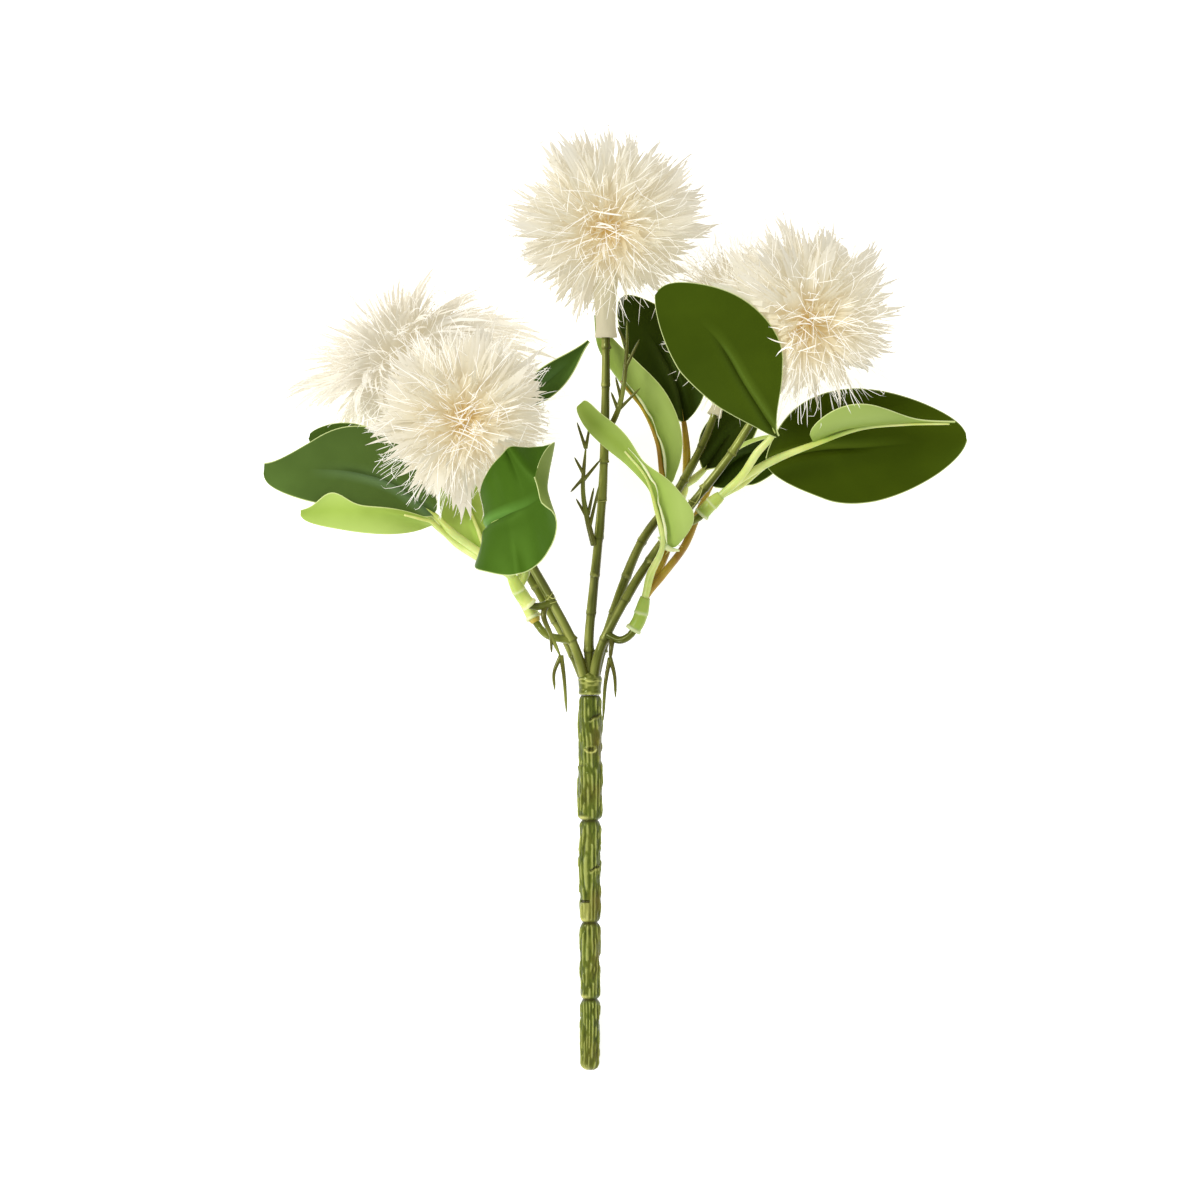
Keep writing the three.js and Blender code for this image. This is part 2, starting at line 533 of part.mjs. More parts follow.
// A flower head: a small core on a fabric tube, and strips that fan out of it on every side.
function flowerHead(name, seed) {
  const { middle: place, facing: way, branch } = heads[name];
  const middle = vector(place);
  const facing = vector(way).normalize();
  const route = branches[branch];
  const tip = vector(route[route.length - 1]);
  const back = vector(route[route.length - 2]);
  const axis = tip.clone().sub(back).normalize();
  const mouth = tip.clone().addScaledVector(axis, -TIP_IN_CALYX);
  const inside = middle.clone().addScaledVector(facing, -5);
  const tube = rod(
    [mouth.toArray(), tip.toArray(), inside.toArray()],
    [[0, 0], [0.35, 0.06], [0.7, 0.4], [1, 1]].map(([share, flare]) => [
      share,
      CALYX_RADIUS + flare * CALYX_FLARE,
    ]),
    9,
  );
  const core = new THREE.SphereGeometry(HEAD_CORE, 10, 7);
  core.translate(...place);
  const random = seeded(seed);
  const towardsTube = mouth.clone().sub(middle).normalize();
  const away = Math.abs(facing.y) < 0.9 ? new THREE.Vector3(0, 1, 0) : new THREE.Vector3(1, 0, 0);
  const across = new THREE.Vector3().crossVectors(facing, away).normalize();
  const third = new THREE.Vector3().crossVectors(facing, across);
  const golden = Math.PI * (3 - Math.sqrt(5));
  const [nearest, furthest] = STRIP_FAN.map((angle) => Math.cos(THREE.MathUtils.degToRad(angle)));
  const strips = [];
  for (let i = 0; i < HEAD_STRIPS; i++) {
    const rise = lerp(nearest, furthest, (i + 0.5) / HEAD_STRIPS);
    const spread = Math.sqrt(1 - rise * rise);
    const turn = i * golden + 0.3 * random();
    const out = facing
      .clone()
      .multiplyScalar(rise)
      .addScaledVector(across, spread * Math.cos(turn))
      .addScaledVector(third, spread * Math.sin(turn));
    const reach = HEAD_RADIUS * lerp(...SPREAD_OF_REACH, random());
    const twist = lerp(-0.4, 0.4, random());
    if (out.angleTo(towardsTube) < CALYX_GAP) continue;
    const belly = middle.clone().addScaledVector(out, BELLY_PLACE * reach).addScaledVector(facing, 2);
    const end = middle.clone().addScaledVector(out, reach);
    const root = middle.clone().addScaledVector(out, HEAD_CORE - 5);
    const side = new THREE.Vector3().crossVectors(facing, out).applyAxisAngle(out, twist);
    const bellyMargin = STRIP_WIDTH / 2 + CLEARANCE;
    strips.push(strip(root, settled(belly, name, bellyMargin), settled(end, name, 0.4), side));
  }
  if (restingHeads.includes(name)) strips.push(restingStrip(middle, facing));
  return joined([tube, core, ...strips]);
}

const finishes = {
  stem: { color: 0x6e8237, roughness: 0.5, metalness: 0 },
  branch: { color: 0x69702d, roughness: 0.45, metalness: 0 },
  stalk: { color: 0xb4c850, roughness: 0.42, metalness: 0 },
  leaf: { color: 0x48621c, roughness: 0.55, metalness: 0 },
  petal: { color: 0xebe1cd, roughness: 0.85, metalness: 0 },
};

const plant = new THREE.Group();
plant.rotation.x = LEAN;

function place(name, geometry, finish) {
  const mesh = new THREE.Mesh(geometry, new THREE.MeshStandardMaterial(finishes[finish]));
  mesh.name = name;
  plant.add(mesh);
}

place("main_stem", stemGeometry, "stem");
place("stem_fork", geometryOf(stemFork(0)), "branch");

const forkSpace = stemFork(CLEARANCE);
let leafSpace = null;
for (const [name, leaf] of Object.entries(leaves)) {
  place(name, leafBlade(leaf, 0), "leaf");
  const space = solid(leafBlade(leaf, CLEARANCE));
  leafSpace = leafSpace ? leafSpace.add(space) : space;
}

let stalkSpace = null;
for (const [name, stalk] of Object.entries(stalks)) {
  const shape = mainBody(leafStalk(stalk).subtract(forkSpace).subtract(leafSpace));
  place(name, geometryOf(shape), "stalk");
  stalkSpace = stalkSpace ? stalkSpace.add(shape) : shape;
}

Object.keys(heads).forEach((name, i) => {
  const shape = flowerHead(name, i + 1).subtract(forkSpace).subtract(leafSpace);
  place(name, geometryOf(mainBody(shape.subtract(stalkSpace))), "petal");
});

const part = new THREE.Group();
part.add(plant);
const extent = new THREE.Box3().setFromObject(part, true);
const centre = extent.getCenter(new THREE.Vector3());
plant.position.set(-centre.x, -centre.y, -extent.min.z);

export default part;
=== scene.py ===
import math

import bpy
import numpy as np
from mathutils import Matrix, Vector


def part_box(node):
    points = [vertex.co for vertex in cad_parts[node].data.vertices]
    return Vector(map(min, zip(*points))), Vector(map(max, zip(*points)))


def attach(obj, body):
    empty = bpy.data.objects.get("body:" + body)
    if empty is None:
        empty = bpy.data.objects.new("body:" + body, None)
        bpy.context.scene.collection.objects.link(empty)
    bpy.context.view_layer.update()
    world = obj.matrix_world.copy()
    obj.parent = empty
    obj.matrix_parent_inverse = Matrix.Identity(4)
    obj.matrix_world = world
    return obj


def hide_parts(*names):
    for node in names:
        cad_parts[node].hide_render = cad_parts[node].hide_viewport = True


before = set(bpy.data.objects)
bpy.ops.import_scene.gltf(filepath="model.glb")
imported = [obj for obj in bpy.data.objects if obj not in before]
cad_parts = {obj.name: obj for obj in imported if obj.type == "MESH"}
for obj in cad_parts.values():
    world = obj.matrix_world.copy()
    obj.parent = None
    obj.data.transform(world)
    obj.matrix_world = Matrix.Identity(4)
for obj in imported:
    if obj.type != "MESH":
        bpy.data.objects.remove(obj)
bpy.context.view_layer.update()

# An artificial melaleuca stem that lies on its back: a moulded stem and fork, fabric leaves on
# moulded stalks, and five heads of frayed fabric ribbons.
# Shapes are worked out in the plant's own frame, in mm: X to the right, Y up the stem, W towards the
# viewer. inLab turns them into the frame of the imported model.

lean = math.radians(10.8)  # rise of the lying stem from its foot to the heads
stemLow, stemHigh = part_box("main_stem")
plantOrigin = np.array([(stemLow.x + stemHigh.x) / 2, stemLow.y + 0.000413, stemLow.z + 0.00306])


def inLab(points):
    # turned by the lean about X, then moved to where the plant's own origin lies
    x, y, w = np.moveaxis(np.asarray(points, float), -1, 0)
    turned = [x, y * math.cos(lean) - w * math.sin(lean), y * math.sin(lean) + w * math.cos(lean)]
    return plantOrigin + np.stack(turned, -1) * 0.001


# Shared shape helpers.

upward = np.array([0, math.sin(lean), math.cos(lean)])
floorBelow = -plantOrigin[2] * 1000  # height of the surface, in mm, over the plant's own origin


def liftedOff(points, clear=0.4):
    # points that would pass the surface are lifted onto it
    short = floorBelow + clear - (points * upward).sum(-1)
    return points + np.clip(short, 0, None)[..., None] * upward


def unit(vectors):
    vectors = np.asarray(vectors, float)
    return vectors / np.maximum(np.linalg.norm(vectors, axis=-1, keepdims=True), 1e-9)


def lerp(low, high, share):
    return low + (high - low) * share


def ease(share):
    share = np.clip(share, 0, 1)
    return share * share * (3 - 2 * share)


def bell(x, middle, width):
    # 1 at the middle, next to nothing two widths away
    return np.exp(-((x - middle) / width) ** 2)


def turns(count):
    return 2 * np.pi * np.arange(count) / count


def apart(turn, middle):
    # the angle from a place round a rod, between -pi and pi
    return np.angle(np.exp(1j * (turn - middle)))


def smoothRoute(route, shares):
    # centripetal Catmull-Rom curve through the points of a route, at shares of its length
    p = np.array(route, float)
    p = np.vstack([2 * p[0] - p[1], p, 2 * p[-1] - p[-2]])
    gap = np.maximum(np.linalg.norm(np.diff(p, axis=0), axis=1) ** 0.5, 1e-4)[:, None]

    def at(place):
        i = np.clip(place.astype(int), 0, len(p) - 4)
        t = (place - i)[:, None]
        p0, p1, p2, p3 = p[i], p[i + 1], p[i + 2], p[i + 3]
        d0, d1, d2 = gap[i], gap[i + 1], gap[i + 2]
        m1 = ((p1 - p0) / d0 - (p2 - p0) / (d0 + d1) + (p2 - p1) / d1) * d1
        m2 = ((p2 - p1) / d1 - (p3 - p1) / (d1 + d2) + (p3 - p2) / d2) * d1
        a, b = 2 * t**3 - 3 * t**2, t**3 - t**2
        return (a + 1) * p1 + (b - t**2 + t) * m1 - a * p2 + b * m2

    fine = np.linspace(0, len(route) - 1, 40 * len(route))
    walk = np.concatenate([[0], np.cumsum(np.linalg.norm(np.diff(at(fine), axis=0), axis=1))])
    return at(np.interp(np.asarray(shares) * walk[-1], walk, fine))


def routeLength(route):
    points = smoothRoute(route, np.linspace(0, 1, 60))
    return np.linalg.norm(np.diff(points, axis=0), axis=1).sum()


def carriedFrames(points):
    # two directions square to a line of points, that turn as little as they can along it
    along = unit(np.gradient(points, axis=0))
    side = np.zeros_like(points)
    side[0] = unit(np.cross(along[0], [0, 0, 1.0] if abs(along[0, 2]) < 0.8 else [1.0, 0, 0]))
    for i in range(1, len(points)):
        side[i] = unit(side[i - 1] - along[i] * (side[i - 1] @ along[i]))
    return side, np.cross(along, side)


def gridQuads(rows, columns, wrap):
    # quads of a grid of points, rows x columns, whose last column joins the first where it wraps
    i, j = np.meshgrid(np.arange(rows - 1), np.arange(columns if wrap else columns - 1), indexing="ij")
    right = (j + 1) % columns
    return np.stack([i * columns + j, i * columns + right, (i + 1) * columns + right,
                     (i + 1) * columns + j], -1).reshape(-1, 4)


def tube(route, shares, radii, sides):
    # circles square to a smooth route, radii at each share of its length and at each turn round it,
    # closed by a point at each end. along is the distance from the start in mm.
    shares = np.asarray(shares, float)
    middles = smoothRoute(route, shares)
    side, rise = carriedFrames(smoothRoute(route, np.linspace(0, 1, 200)))
    nearest = np.clip(np.round(shares * 199).astype(int), 0, 199)
    turn = turns(sides)[:, None]
    radii = np.broadcast_to(np.asarray(radii, float).reshape(len(shares), -1), (len(shares), sides))
    out = np.cos(turn) * side[nearest][:, None] + np.sin(turn) * rise[nearest][:, None]
    rings = middles[:, None] + radii[..., None] * out
    count = len(shares) * sides
    k = np.arange(sides)
    caps = [np.stack([np.full(sides, count), (k + 1) % sides, k], -1),
            np.stack([np.full(sides, count + 1), count - sides + k, count - sides + (k + 1) % sides], -1)]
    length = routeLength(route)
    return {
        "points": np.vstack([rings.reshape(-1, 3), middles[0], middles[-1]]),
        "quads": gridQuads(len(shares), sides, True),
        "tris": np.vstack(caps),
        "along": np.concatenate([np.repeat(shares * length, sides), [0, length]]),
    }


def uprightTube(y, radii):
    # a tube straight up the stem, with a row of radii for each height
    return tube([[0, y[0], 0], [0, y[-1], 0]], (y - y[0]) / (y[-1] - y[0]), radii, radii.shape[1])


def plainRod(route, stations, sides, spacing=0.8):
    # a round rod whose radius runs evenly from one (share, radius) station to the next
    places, radii = np.array(stations, float).T
    even = np.linspace(0, 1, max(6, int(routeLength(route) / spacing)))
    shares = np.unique(np.concatenate([even, places]))
    return tube(route, shares, np.interp(shares, places, radii), sides)


def onTube(values, rings, sides, ends=0.0):
    # values of a tube's rings, or of its turns, for each of its points; ends is for its two ends
    return np.concatenate([np.broadcast_to(values, (rings, sides)).ravel(), [ends, ends]])


def patchNoise(x, y, seed, wrap=64):
    # value noise: random heights on whole-number places, eased between; y repeats after wrap
    table = np.random.default_rng(seed).random((64, 64))
    i, j = np.floor(x).astype(int), np.floor(y).astype(int)
    u, v = ease(x - i), ease(y - j)

    def corner(a, b):
        return table[(i + a) % 64, ((j + b) % wrap) % 64]

    return lerp(lerp(corner(0, 0), corner(1, 0), u), lerp(corner(0, 1), corner(1, 1), u), v)


def rodNoise(place, turn, length, cells, seed):
    # noise along and round a rod, with so many cells in a whole turn
    return patchNoise(place / length, turn / (2 * np.pi) * cells, seed, cells)


def gathered(parts, kind, corners, starts):
    found = [part[kind] + start for part, start in zip(parts, starts) if kind in part]
    return np.vstack(found) if found else np.zeros((0, corners), int)


def makePiece(name, parts, material, nodes, smooth=True, marks=()):
    # one mesh of several closed parts; marks are the parts' values that the material reads
    starts = np.cumsum([0] + [len(part["points"]) for part in parts])
    quads, tris = gathered(parts, "quads", 4, starts), gathered(parts, "tris", 3, starts)
    corners = np.concatenate([quads.ravel(), tris.ravel()])
    mesh = bpy.data.meshes.new(name)
    mesh.vertices.add(starts[-1])
    mesh.vertices.foreach_set("co", inLab(np.vstack([part["points"] for part in parts])).ravel())
    mesh.loops.add(len(corners))
    mesh.loops.foreach_set("vertex_index", corners)
    mesh.polygons.add(len(quads) + len(tris))
    firsts = np.concatenate([4 * np.arange(len(quads)), 4 * len(quads) + 3 * np.arange(len(tris))])
    mesh.polygons.foreach_set("loop_start", firsts)
    mesh.polygons.foreach_set("use_smooth", np.full(len(firsts), smooth))
    mesh.update(calc_edges=True)
    for mark in marks:
        values = [np.broadcast_to(part.get(mark, 0.0), len(part["points"])) for part in parts]
        layer = mesh.attributes.new(mark, "FLOAT", "POINT")
        layer.data.foreach_set("value", np.concatenate(values).astype(np.float32))
    mesh.materials.append(material)
    piece = bpy.data.objects.new(name, mesh)
    scene.collection.objects.link(piece)
    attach(piece, "root")
    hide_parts(*nodes)


# Material helpers.


def linear(red, green, blue):
    # a screen colour from 0 to 255 as the light it stands for
    share = np.array([red, green, blue]) / 255
    return (*np.where(share <= 0.04045, share / 12.92, ((share + 0.055) / 1.055) ** 2.4), 1.0)


def toned(colour, *factors):
    # a screen colour with its light multiplied by one factor, or by one each for red, green and blue
    return tuple(np.array(linear(*colour)) * (*np.broadcast_to(factors, 3), 1))


class Shader:
    # a node material built on one Principled shader; add() makes a node and feeds its inputs

    def __init__(self, name, **sockets):
        self.material = bpy.data.materials.new(name)
        self.material.use_nodes = True
        self.tree = self.material.node_tree
        self.surface = self.tree.nodes["Principled BSDF"]
        for socket, value in sockets.items():
            self.feed(self.surface.inputs[socket.replace("_", " ")], value)

    def feed(self, socket, value):
        # links another node's output to the socket, or sets a constant; a triple is a screen colour
        if isinstance(value, bpy.types.NodeSocket):
            self.tree.links.new(value, socket)
        elif socket.type == "RGBA" and len(value) == 3:
            socket.default_value = linear(*value)
        else:
            socket.default_value = value

    def add(self, kind, inputs, **settings):
        node = self.tree.nodes.new("ShaderNode" + kind)
        for key, value in settings.items():
            setattr(node, key, value)
        for key, value in inputs.items():
            self.feed(node.inputs[key], value)
        return node

    def attribute(self, name):
        return self.add("Attribute", {}, attribute_name=name).outputs["Fac"]

    def noise(self, scale, detail=3, stretch=(1, 1, 1), roughness=0.5):
        # noise on Object coordinates, in the part's metres; a low stretch draws it out along an axis
        vector = self.add("TexCoord", {}).outputs["Object"]
        placed = self.add("Mapping", {"Vector": vector, "Scale": stretch}).outputs["Vector"]
        made = self.add("TexNoise", {"Vector": placed, "Scale": scale, "Detail": detail,
                                     "Roughness": roughness})
        return made.outputs["Fac"]

    def ramp(self, value, stops):
        # stops: (place, colour) pairs
        node = self.add("ValToRGB", {"Fac": value})
        while len(node.color_ramp.elements) < len(stops):
            node.color_ramp.elements.new(0.5)
        for element, (place, colour) in zip(node.color_ramp.elements, stops):
            element.position = place
            element.color = linear(*colour) if len(colour) == 3 else colour
        return node.outputs["Color"]

    def mix(self, share, first, second):
        # inputs 0, 6 and 7 of a Mix node are its share and its two colours, output 2 is the colour
        inputs = {0: share, 6: first, 7: second}
        return self.add("Mix", inputs, data_type="RGBA").outputs[2]

    def marked(self, tone, mark, colour, strength=1.0):
        # a colour laid over a tone as far as the mesh has a mark there
        return self.mix(self.times(self.attribute(mark), strength), tone, colour)

    def times(self, first, second, plus=0.0):
        inputs = {0: first, 1: second, 2: plus}
        return self.add("Math", inputs, operation="MULTIPLY_ADD").outputs["Value"]

    def range(self, value, low, high, newLow=0.0, newHigh=1.0):
        inputs = {"Value": value, "From Min": low, "From Max": high, "To Min": newLow, "To Max": newHigh}
        return self.add("MapRange", inputs, clamp=True).outputs["Result"]

    def bump(self, height, strength, distance):
        node = self.add("Bump", {"Height": height, "Strength": strength, "Distance": distance})
        self.feed(self.surface.inputs["Normal"], node.outputs["Normal"])

    def colour(self, colour, socket="Base Color"):
        self.feed(self.surface.inputs[socket], colour)


# Camera, light and floor.

cameraLook = {"middle": (4, 188), "distance": 2000, "lens": 150, "sensor": 36}
lightLook = {
    "key": {"place": (-1200, 800, 1200), "size": 0.6, "power": 17},
    "fill": {"place": (1100, 100, 1400), "size": 1.6, "power": 4.5},
    "low": {"place": (-1000, -900, 850), "size": 0.35, "power": 6.5},
}
lightAim = (0, 220, 0)
skyLook = {"colour": (1, 1, 1, 1), "strength": 0.6}
floorLook = {"reach": 3, "tones": ((237, 237, 238), (232, 232, 233)), "glow": 0.6}

scene = bpy.context.scene
scene.view_settings.view_transform = "Standard"

camera = bpy.data.objects.new("camera", bpy.data.cameras.new("camera"))
camera.data.lens = cameraLook["lens"]
camera.data.sensor_width = cameraLook["sensor"]
camera.data.clip_end = 20
camera.location = inLab((*cameraLook["middle"], cameraLook["distance"]))
camera.rotation_euler = (lean, 0, 0)
scene.collection.objects.link(camera)
scene.camera = camera

for name, look in lightLook.items():
    light = bpy.data.objects.new(name + "_light", bpy.data.lights.new(name + "_light", "AREA"))
    light.data.size = look["size"]
    light.data.energy = look["power"]
    light.location = inLab(look["place"])
    direction = Vector(inLab(lightAim)) - light.location
    light.rotation_euler = direction.to_track_quat("-Z", "Y").to_euler()
    scene.collection.objects.link(light)

scene.world = bpy.data.worlds.new("studio")
scene.world.use_nodes = True
sky = scene.world.node_tree.nodes["Background"]
sky.inputs["Color"].default_value = skyLook["colour"]
sky.inputs["Strength"].default_value = skyLook["strength"]

floorShader = Shader("pale_floor", Roughness=0.9, Emission_Color=(1, 1, 1, 1),
                     Emission_Strength=floorLook["glow"])
floorShader.colour(floorShader.mix(floorShader.noise(3, 2), *floorLook["tones"]))
r = floorLook["reach"]
floorMesh = bpy.data.meshes.new("floor")
floorMesh.from_pydata([(-r, -r, 0), (r, -r, 0), (r, r, 0), (-r, r, 0)], [], [(0, 1, 2, 3)])
floorMesh.materials.append(floorShader.material)
floor = bpy.data.objects.new("floor", floorMesh)
scene.collection.objects.link(floor)
print("camera, lights and floor done")


# Main stem: rounded lengths of rod with a bark of short lengthwise ridges, and painted shade and painted
# highlights at its joints and marks.

stemLook = {
    "joints": (28.5, 59.2, 100.0, 150),
    "necks": (0.9, 0.95, 1.15, 0.8),
    "radii": ((0, 3.75), (28, 3.7), (30, 3.9), (59, 3.85), (63, 4.05), (78, 4.35), (99, 4.15), (101, 4.5),
              (112, 4.9), (121, 4.9), (123.5, 4.45), (130, 4.6), (138, 4.7), (146, 4.35), (150, 4.3)),
    "shoulder": 2.6,
    "ridges": 18,
    "ridgeLength": 3.4,
    "ridgeRise": 0.6,
    "fineRise": 0.14,
    "wobble": 0.5,
    "highlightTurn": 2.5,  # where the painted highlight on the lips of the joints and on the foot is brightest
    "rings": 640,
    "sides": 112,
}
# places of the marks on the bark: how far up and how far round, from the viewer's right over the front
stemMarks = {
    "scar": dict(up=128.4, turn=1.5, tall=1.2, wide=0.4464, rise=0.35, depth=1.0),
    "step": dict(up=121.6, turn=2.75, wide=0.75, rise=0.5, length=3.2),
    "slot": dict(up=67.6, turn=2.3, wide=0.62, depth=0.7, scaleFoot=60.2, scaleRise=0.18),
    "creases": (dict(up=141.6, turn=1.0, wide=0.62, slope=1.9, depth=0.5, rise=0.32),
                dict(up=81.3, turn=0.9, wide=0.75, slope=1.7, depth=0.6, rise=0.32)),
}


def barkRelief(place, around, look):
    # ridges that are lens-shaped cells in staggered lanes, fine grain, and a slow wobble
    lane = around / (2 * np.pi) * look["ridges"] + 1.6 * (rodNoise(place, around, 16, 5, 17) - 0.5)
    column = np.mod(np.floor(lane), look["ridges"])
    strength = ease((patchNoise(place / look["ridgeLength"] + column * 3.7, column, 5) - 0.22) / 0.45)
    crest = np.sin(np.pi * (lane - np.floor(lane))) ** 2.4
    ridge = crest * lerp(0.05, 0.95, strength) + 0.35 * (patchNoise(place / 3.1, lane * 2.6, 15) - 0.35)
    fine = rodNoise(place, around, 1.6, 58, 6)
    wobble = rodNoise(place, around, 8.5, 4, 8) - 0.5 + 0.5 * (rodNoise(place, around, 3.6, 7, 9) - 0.5)
    return ridge, fine, wobble


# Each mark gives what it adds to the radius, to the painted shade and to the paleness of the bark.


def scarMark(place, around, fine, at):
    # a knot hole: a raised rim round a hollow, with painted shade in the hollow and a painted highlight on
    # the lower side of the rim
    ring = np.hypot((place - at["up"]) / at["tall"], apart(around, at["turn"]) / at["wide"])
    rise = at["rise"] * bell(ring, 1.05, 0.3) - at["depth"] * bell(ring, 0, 0.62)
    paintedHighlight = 1.3 * (0.2 + 0.8 * (place < at["up"])) * (0.4 + 0.6 * fine)
    return rise, bell(ring, 0, 0.66), paintedHighlight * bell(ring, 1.1, 0.22)


def stepMark(place, around, at):
    # a ledge: the bark stands out just below it, with a line of painted shade just above it
    beside = bell(apart(around, at["turn"]), 0, at["wide"])
    drop = at["up"] - place
    rise = at["rise"] * beside * (drop > 0) * np.exp(-np.clip(drop, 0, None) / at["length"])
    return rise, 0.7 * beside * bell(drop, -0.3, 0.35), 0


def slotMark(place, around, at):
    # a narrow slot across the front, with painted shade in it and a pale flat scale below it
    beside = 1 - ease((np.abs(apart(around, at["turn"])) - at["wide"]) / 0.12)
    above = place - at["up"]
    scale = beside * ease(-above / 0.5) * ease((place - at["scaleFoot"]) / 1.5)
    rise = at["scaleRise"] * scale - at["depth"] * beside * np.exp(-(above / 0.5) ** 4)
    return rise, beside * np.exp(-(above / 0.6) ** 4), 0.34 * scale


def creaseMark(place, around, at):
    # a slanting crease with painted shade in it, over a raised lip with a painted highlight
    beside = apart(around, at["turn"])
    inside = 1 - ease((np.abs(beside) - at["wide"] * 0.75) / 0.25)
    above = place - at["up"] + at["slope"] * beside - 0.25 * np.sin(beside * 9)
    rise = inside * (at["rise"] * bell(above, -0.9, 0.6) - at["depth"] * bell(above, 0, 0.42))
    return rise, 0.9 * inside * bell(above, 0, 0.5), 0.35 * inside * bell(above, -0.95, 0.45)


def stemPart(look, marks):
    # radius(y, turn) = the stretch's radius, rounded in to a neck at each joint, + bark + marks
    y = np.linspace(0.12, look["joints"][-1] - 0.1, look["rings"])
    place, around = np.meshgrid(y, np.mod(-turns(look["sides"]), 2 * np.pi), indexing="ij")
    tops, necks = np.array(look["joints"]), np.array(look["necks"])
    stretch = np.searchsorted(tops, y)
    below, above = np.concatenate([[-9], tops])[stretch], tops[stretch]
    neckBelow, neckAbove = np.concatenate([[0], necks])[stretch], necks[stretch]
    fromTop = np.clip(1 - (above - y) / look["shoulder"], 0, 1)
    fromFoot = np.clip(1 - (y - below) / (look["shoulder"] * 0.8), 0, 1)
    base = np.interp(y, *np.array(look["radii"]).T)
    base = base - neckAbove * fromTop ** 2.4 - neckBelow * fromFoot ** 2.4
    ridge, fine, wobble = barkRelief(place, around, look)
    relief = look["ridgeRise"] * (ridge - 0.4) + look["wobble"] * wobble + look["fineRise"] * (fine - 0.5)
    fade = ((1 - fromTop ** 1.5) * (1 - fromFoot ** 1.5))[:, None]
    radius = base[:, None] + fade * relief
    dark, pale = np.zeros_like(radius), np.zeros_like(radius)
    made = [scarMark(place, around, fine, marks["scar"]), stepMark(place, around, marks["step"]),
            slotMark(place, around, marks["slot"])]
    made += [creaseMark(place, around, crease) for crease in marks["creases"]]
    for rise, paintedShade, paler in made:
        radius += rise
        dark += paintedShade
        pale += paler
    radius *= np.sqrt(1 - np.clip((3.4 - y) / 3.6, 0, 1) ** 2)[:, None]  # the rounded foot
    # painted highlight on the lower lip of each stretch, just above its joint, and on the rounded foot, on
    # the side towards the light
    lipHighlight = 0.8 * bell(y, below + 1, 0.7) * (neckBelow > 0) + 0.7 * bell(y, 0, 1.8)
    pale += lipHighlight[:, None] * np.cos(around - look["highlightTurn"]).clip(0) ** 3
    # painted shade at the top of each stretch, under the joint above, and a thin line of it in each joint's
    # gap
    dark += (0.9 * bell(y, above, 0.9) + 0.5 * bell(y, below, 0.25))[:, None]
    part = uprightTube(y, radius)
    part["points"] = liftedOff(part["points"], 0.02)
    # how far each place faces the viewer's right, away from the light, where brown is laid as painted shade
    shadeSide = 0.5 + 0.5 * np.cos(around)
    for mark, value in (("ridge", ridge * fade), ("dark", dark), ("pale", pale), ("right", shadeSide)):
        part[mark] = onTube(value.clip(0, 1), *radius.shape, 0.3)
    return part


stemShader = Shader("stem_bark", Roughness=0.26, IOR=1.45, Specular_Tint=(230, 240, 170))
barkGrain = stemShader.noise(800, 4, (1, 0.22, 1), 0.65)
ridgeTone = stemShader.times(barkGrain, 0.9, stemShader.times(stemShader.attribute("ridge"), 0.72))
barkTone = stemShader.ramp(ridgeTone, [(0.34, (54, 66, 12)), (0.56, (84, 96, 25)),
                                       (0.82, (114, 124, 46)), (1.0, (156, 163, 84))])
# brown patches of the bark's own tone, laid mostly on the right side as painted shade
patches = stemShader.range(stemShader.noise(55), 0.45, 0.7)
shadedBrownShare = stemShader.times(stemShader.attribute("right"), 0.85, 0.05)
barkTone = stemShader.mix(stemShader.times(patches, shadedBrownShare), barkTone, (112, 88, 27))
# pale: painted highlights on the joints' lips, the foot, the scar's rim and the creases' lips, and the pale
# scale under the slot
barkTone = stemShader.marked(barkTone, "pale", (212, 210, 117))
# dark: painted shade at the joints, in the scar, the slot and the creases, and above the step
barkTone = stemShader.marked(barkTone, "dark", (50, 45, 11))
stemShader.colour(barkTone)
stemShader.bump(barkGrain, 0.45, 0.0004)
makePiece("main_stem_bark", [stemPart(stemLook, stemMarks)], stemShader.material,
          ["main_stem"], marks=("ridge", "dark", "pale", "right"))
print("main stem done")


# Fork: collar, branches with node rings, stubs and needle twigs.

forkLook = {
    "branchRadius": 1.85,
    "nodeSpacing": 15.6,
    "ringGap": 0.42,
    "branchSides": 20,
    "nodeRise": 0.16,
    "lineDepth": 0.12,
    "budRise": 0.6,
    "seamRise": 0.16,
    # how bright the painted highlight along the branches' front left sides is
    "paintedHighlight": 1.25,
    "collar": ((150.05, 3.7), (150.2, 4.25), (150.9, 4.6), (152.0, 4.5), (153.4, 4.62), (154.8, 4.7),
               (156.2, 4.72), (157.0, 4.66), (157.6, 4.4), (158.2, 3.8), (158.8, 2.6), (159.3, 1.2)),
    "collarLine": 155.9,
    "stub": ((0, 1.75), (0.12, 1.6), (0.55, 1.5), (0.6, 1.42), (0.64, 1.5), (1, 1.4)),
    "glue": 0.2,
}
branches = {
    "top": [[0, 152, -0.5], [-0.4, 172, -0.8], [1, 188, -1], [3.8, 216, -1], [5.2, 234, -1], [6.3, 276, 0],
            [6.3, 303, 0]],
    "leftFront": [[-1, 153, 1], [-6, 169, 2.5], [-16, 189, 6], [-27, 209, 11], [-40, 236, 19],
                  [-46, 249, 22]],
    "leftRear": [[-1, 153, -1.5], [-8, 169, -3], [-18, 187, -7], [-33, 212, -13], [-53, 247, -21],
                 [-62, 263, -23]],
    "rightFront": [[1, 153, 1.2], [4, 168, 2.4], [20, 198, 5], [35, 219, 7], [56, 246, 11], [71, 270, 15]],
    "rightRear": [[1, 153, -1.5], [6, 172, -3], [20, 210, -8], [34, 230, -14], [46, 252, -20],
                  [53, 270, -24]],
}
